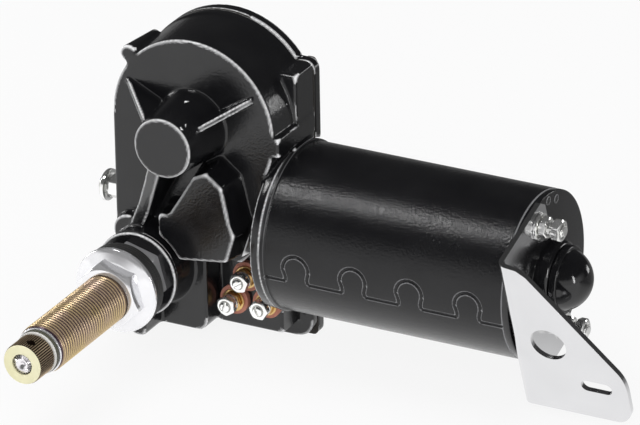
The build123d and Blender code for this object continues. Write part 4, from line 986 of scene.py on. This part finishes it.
# ---------------------------------------------------------------- end cap, dome and bracket
vent_places = [(28.8, -16.5), (29.6, -3.0)]  # radius, and degrees from +Z towards the front
vent_radius, vent_rim, vent_sink = 1.7, 0.5, 0.2
cap_plug_length = 4.0  # of the end cap inside the tube
dome_steps = 24
foot_end_x, foot_rounding, foot_rounding_steps = 194.0, 2.4, 5
sheet_thickness, sheet_bevel, sheet_bevel_steps = 2.0, 0.22, 3
straight_gap, length_gap = 1e-5, 1e-4  # m, within which an edge counts as a foot corner


def make_end_cap():
    low, high = span("end_cap")
    cap_x, plug_radius = low.x + cap_plug_length, tube_bore - 0.05
    face_x, reach = cap_x + end_cap_rim, end_boss_radius
    profile = rounded([(low.x, 27.0), (low.x, plug_radius), (cap_x, plug_radius), (cap_x, tube_radius),
                       (face_x, tube_radius), (face_x, reach + 1.6), (face_x + 1.2, reach),
                       (high.x - 1.0, reach), (high.x, reach - 1.0), (high.x, 9.0), (low.x, 9.0)], 0.55)
    add_piece("end_cap_pressed", turned(profile, "X", (motor_y, motor_z), 128), "black_gloss", "end_cap",
              sharp_angle=60.0)


def make_vents():
    """Two small rims near the top of the end cap, each round a dark disc that is painted shade in place of a
    hole.
    """
    low, _ = span("end_cap")
    face_x = low.x + cap_plug_length + end_cap_rim
    back_x, body = face_x - vent_sink, body_of_node("end_cap")
    for number, place in enumerate(vent_places, 1):
        centre = on_motor(*place)
        rim = ring(vent_radius, vent_radius - vent_rim, back_x, face_x + 0.3, axis="X", centre=centre)
        # painted shade: a dark disc stands in for the hole, and the cap itself is not cut
        shade_disc = turned([(back_x, 0.0), (face_x + 0.02, 0.0), (face_x + 0.02, vent_radius - 0.4),
                       (back_x, vent_radius - 0.4)], "X", centre, 32, closed=False)
        add_piece("vent_rim_%d" % number, rim, "tube_paint", rides=body)
        add_piece("vent_shade_disc_%d" % number, shade_disc, "carbon", rides=body)


def make_dome():
    """Bearing cap: a skirt, then an elliptic dome that ends in a point on the axis."""
    low, high = span("bearing_cap")
    skirt_x, skirt_end, dome_x = low.x, low.x + dome_skirt_width, low.x - dome_inset
    skirt = [(skirt_x, 9.5), (skirt_x, dome_skirt_radius - 0.5), (skirt_x + 0.5, dome_skirt_radius),
             (skirt_end - 0.4, dome_skirt_radius), (skirt_end, dome_skirt_radius - 0.4)]
    reach = high.x - dome_x
    first = asin(min(1.0, (skirt_end - dome_x) / reach))
    angles = [first + (pi / 2 - first) * step / dome_steps for step in range(dome_steps + 1)]
    dome = [(dome_x + reach * sin(angle), dome_radius * cos(angle)) for angle in angles]
    profile = rounded(skirt + dome[:1], 0.3, closed=False) + dome[1:]
    add_piece("bearing_cap_dome", turned(profile, "X", (motor_y, motor_z), closed=False), "black_gloss",
              "bearing_cap", sharp_angle=60.0)


def make_bracket():
    """The CAD's sheet with softened rims, and the foot's end corners rounded off as in the photo."""
    source = nodes["mounting_bracket"].data.copy()
    mesh = bmesh.new()
    mesh.from_mesh(source)
    merge_flats(mesh)
    corners = [edge for edge in mesh.edges
               if min(vertex.co.x for vertex in edge.verts) > foot_end_x * MM
               and abs(edge.verts[0].co.x - edge.verts[1].co.x) < straight_gap
               and abs(edge.calc_length() - sheet_thickness * MM) < length_gap]
    bmesh.ops.bevel(mesh, geom=corners, offset=foot_rounding * MM, segments=foot_rounding_steps,
                    profile=0.5, affect="EDGES", clamp_overlap=True)
    mesh.to_mesh(source)
    mesh.free()
    data = evaluated(source, [("BEVEL", {"width": sheet_bevel * MM, "segments": sheet_bevel_steps,
                                         "limit_method": "ANGLE", "angle_limit": radians(45)})])
    weigh_normals(add_mesh("bracket_sheet", data, "stainless", "mounting_bracket", sharp_angle=50.0))


paint_frame()
make_castings()
make_tube()
make_bushing()
make_mounting_nuts()
make_gasket()
make_drum()
make_shaft()
make_shaft_rings()
make_terminals()
make_cover_screws()
make_tie_bolts()
make_thrust_screw()
make_end_cap()
make_vents()
make_dome()
make_bracket()
make_floor()
make_world()
make_lamps()
make_camera()
bpy.context.scene.view_settings.view_transform = "Standard"
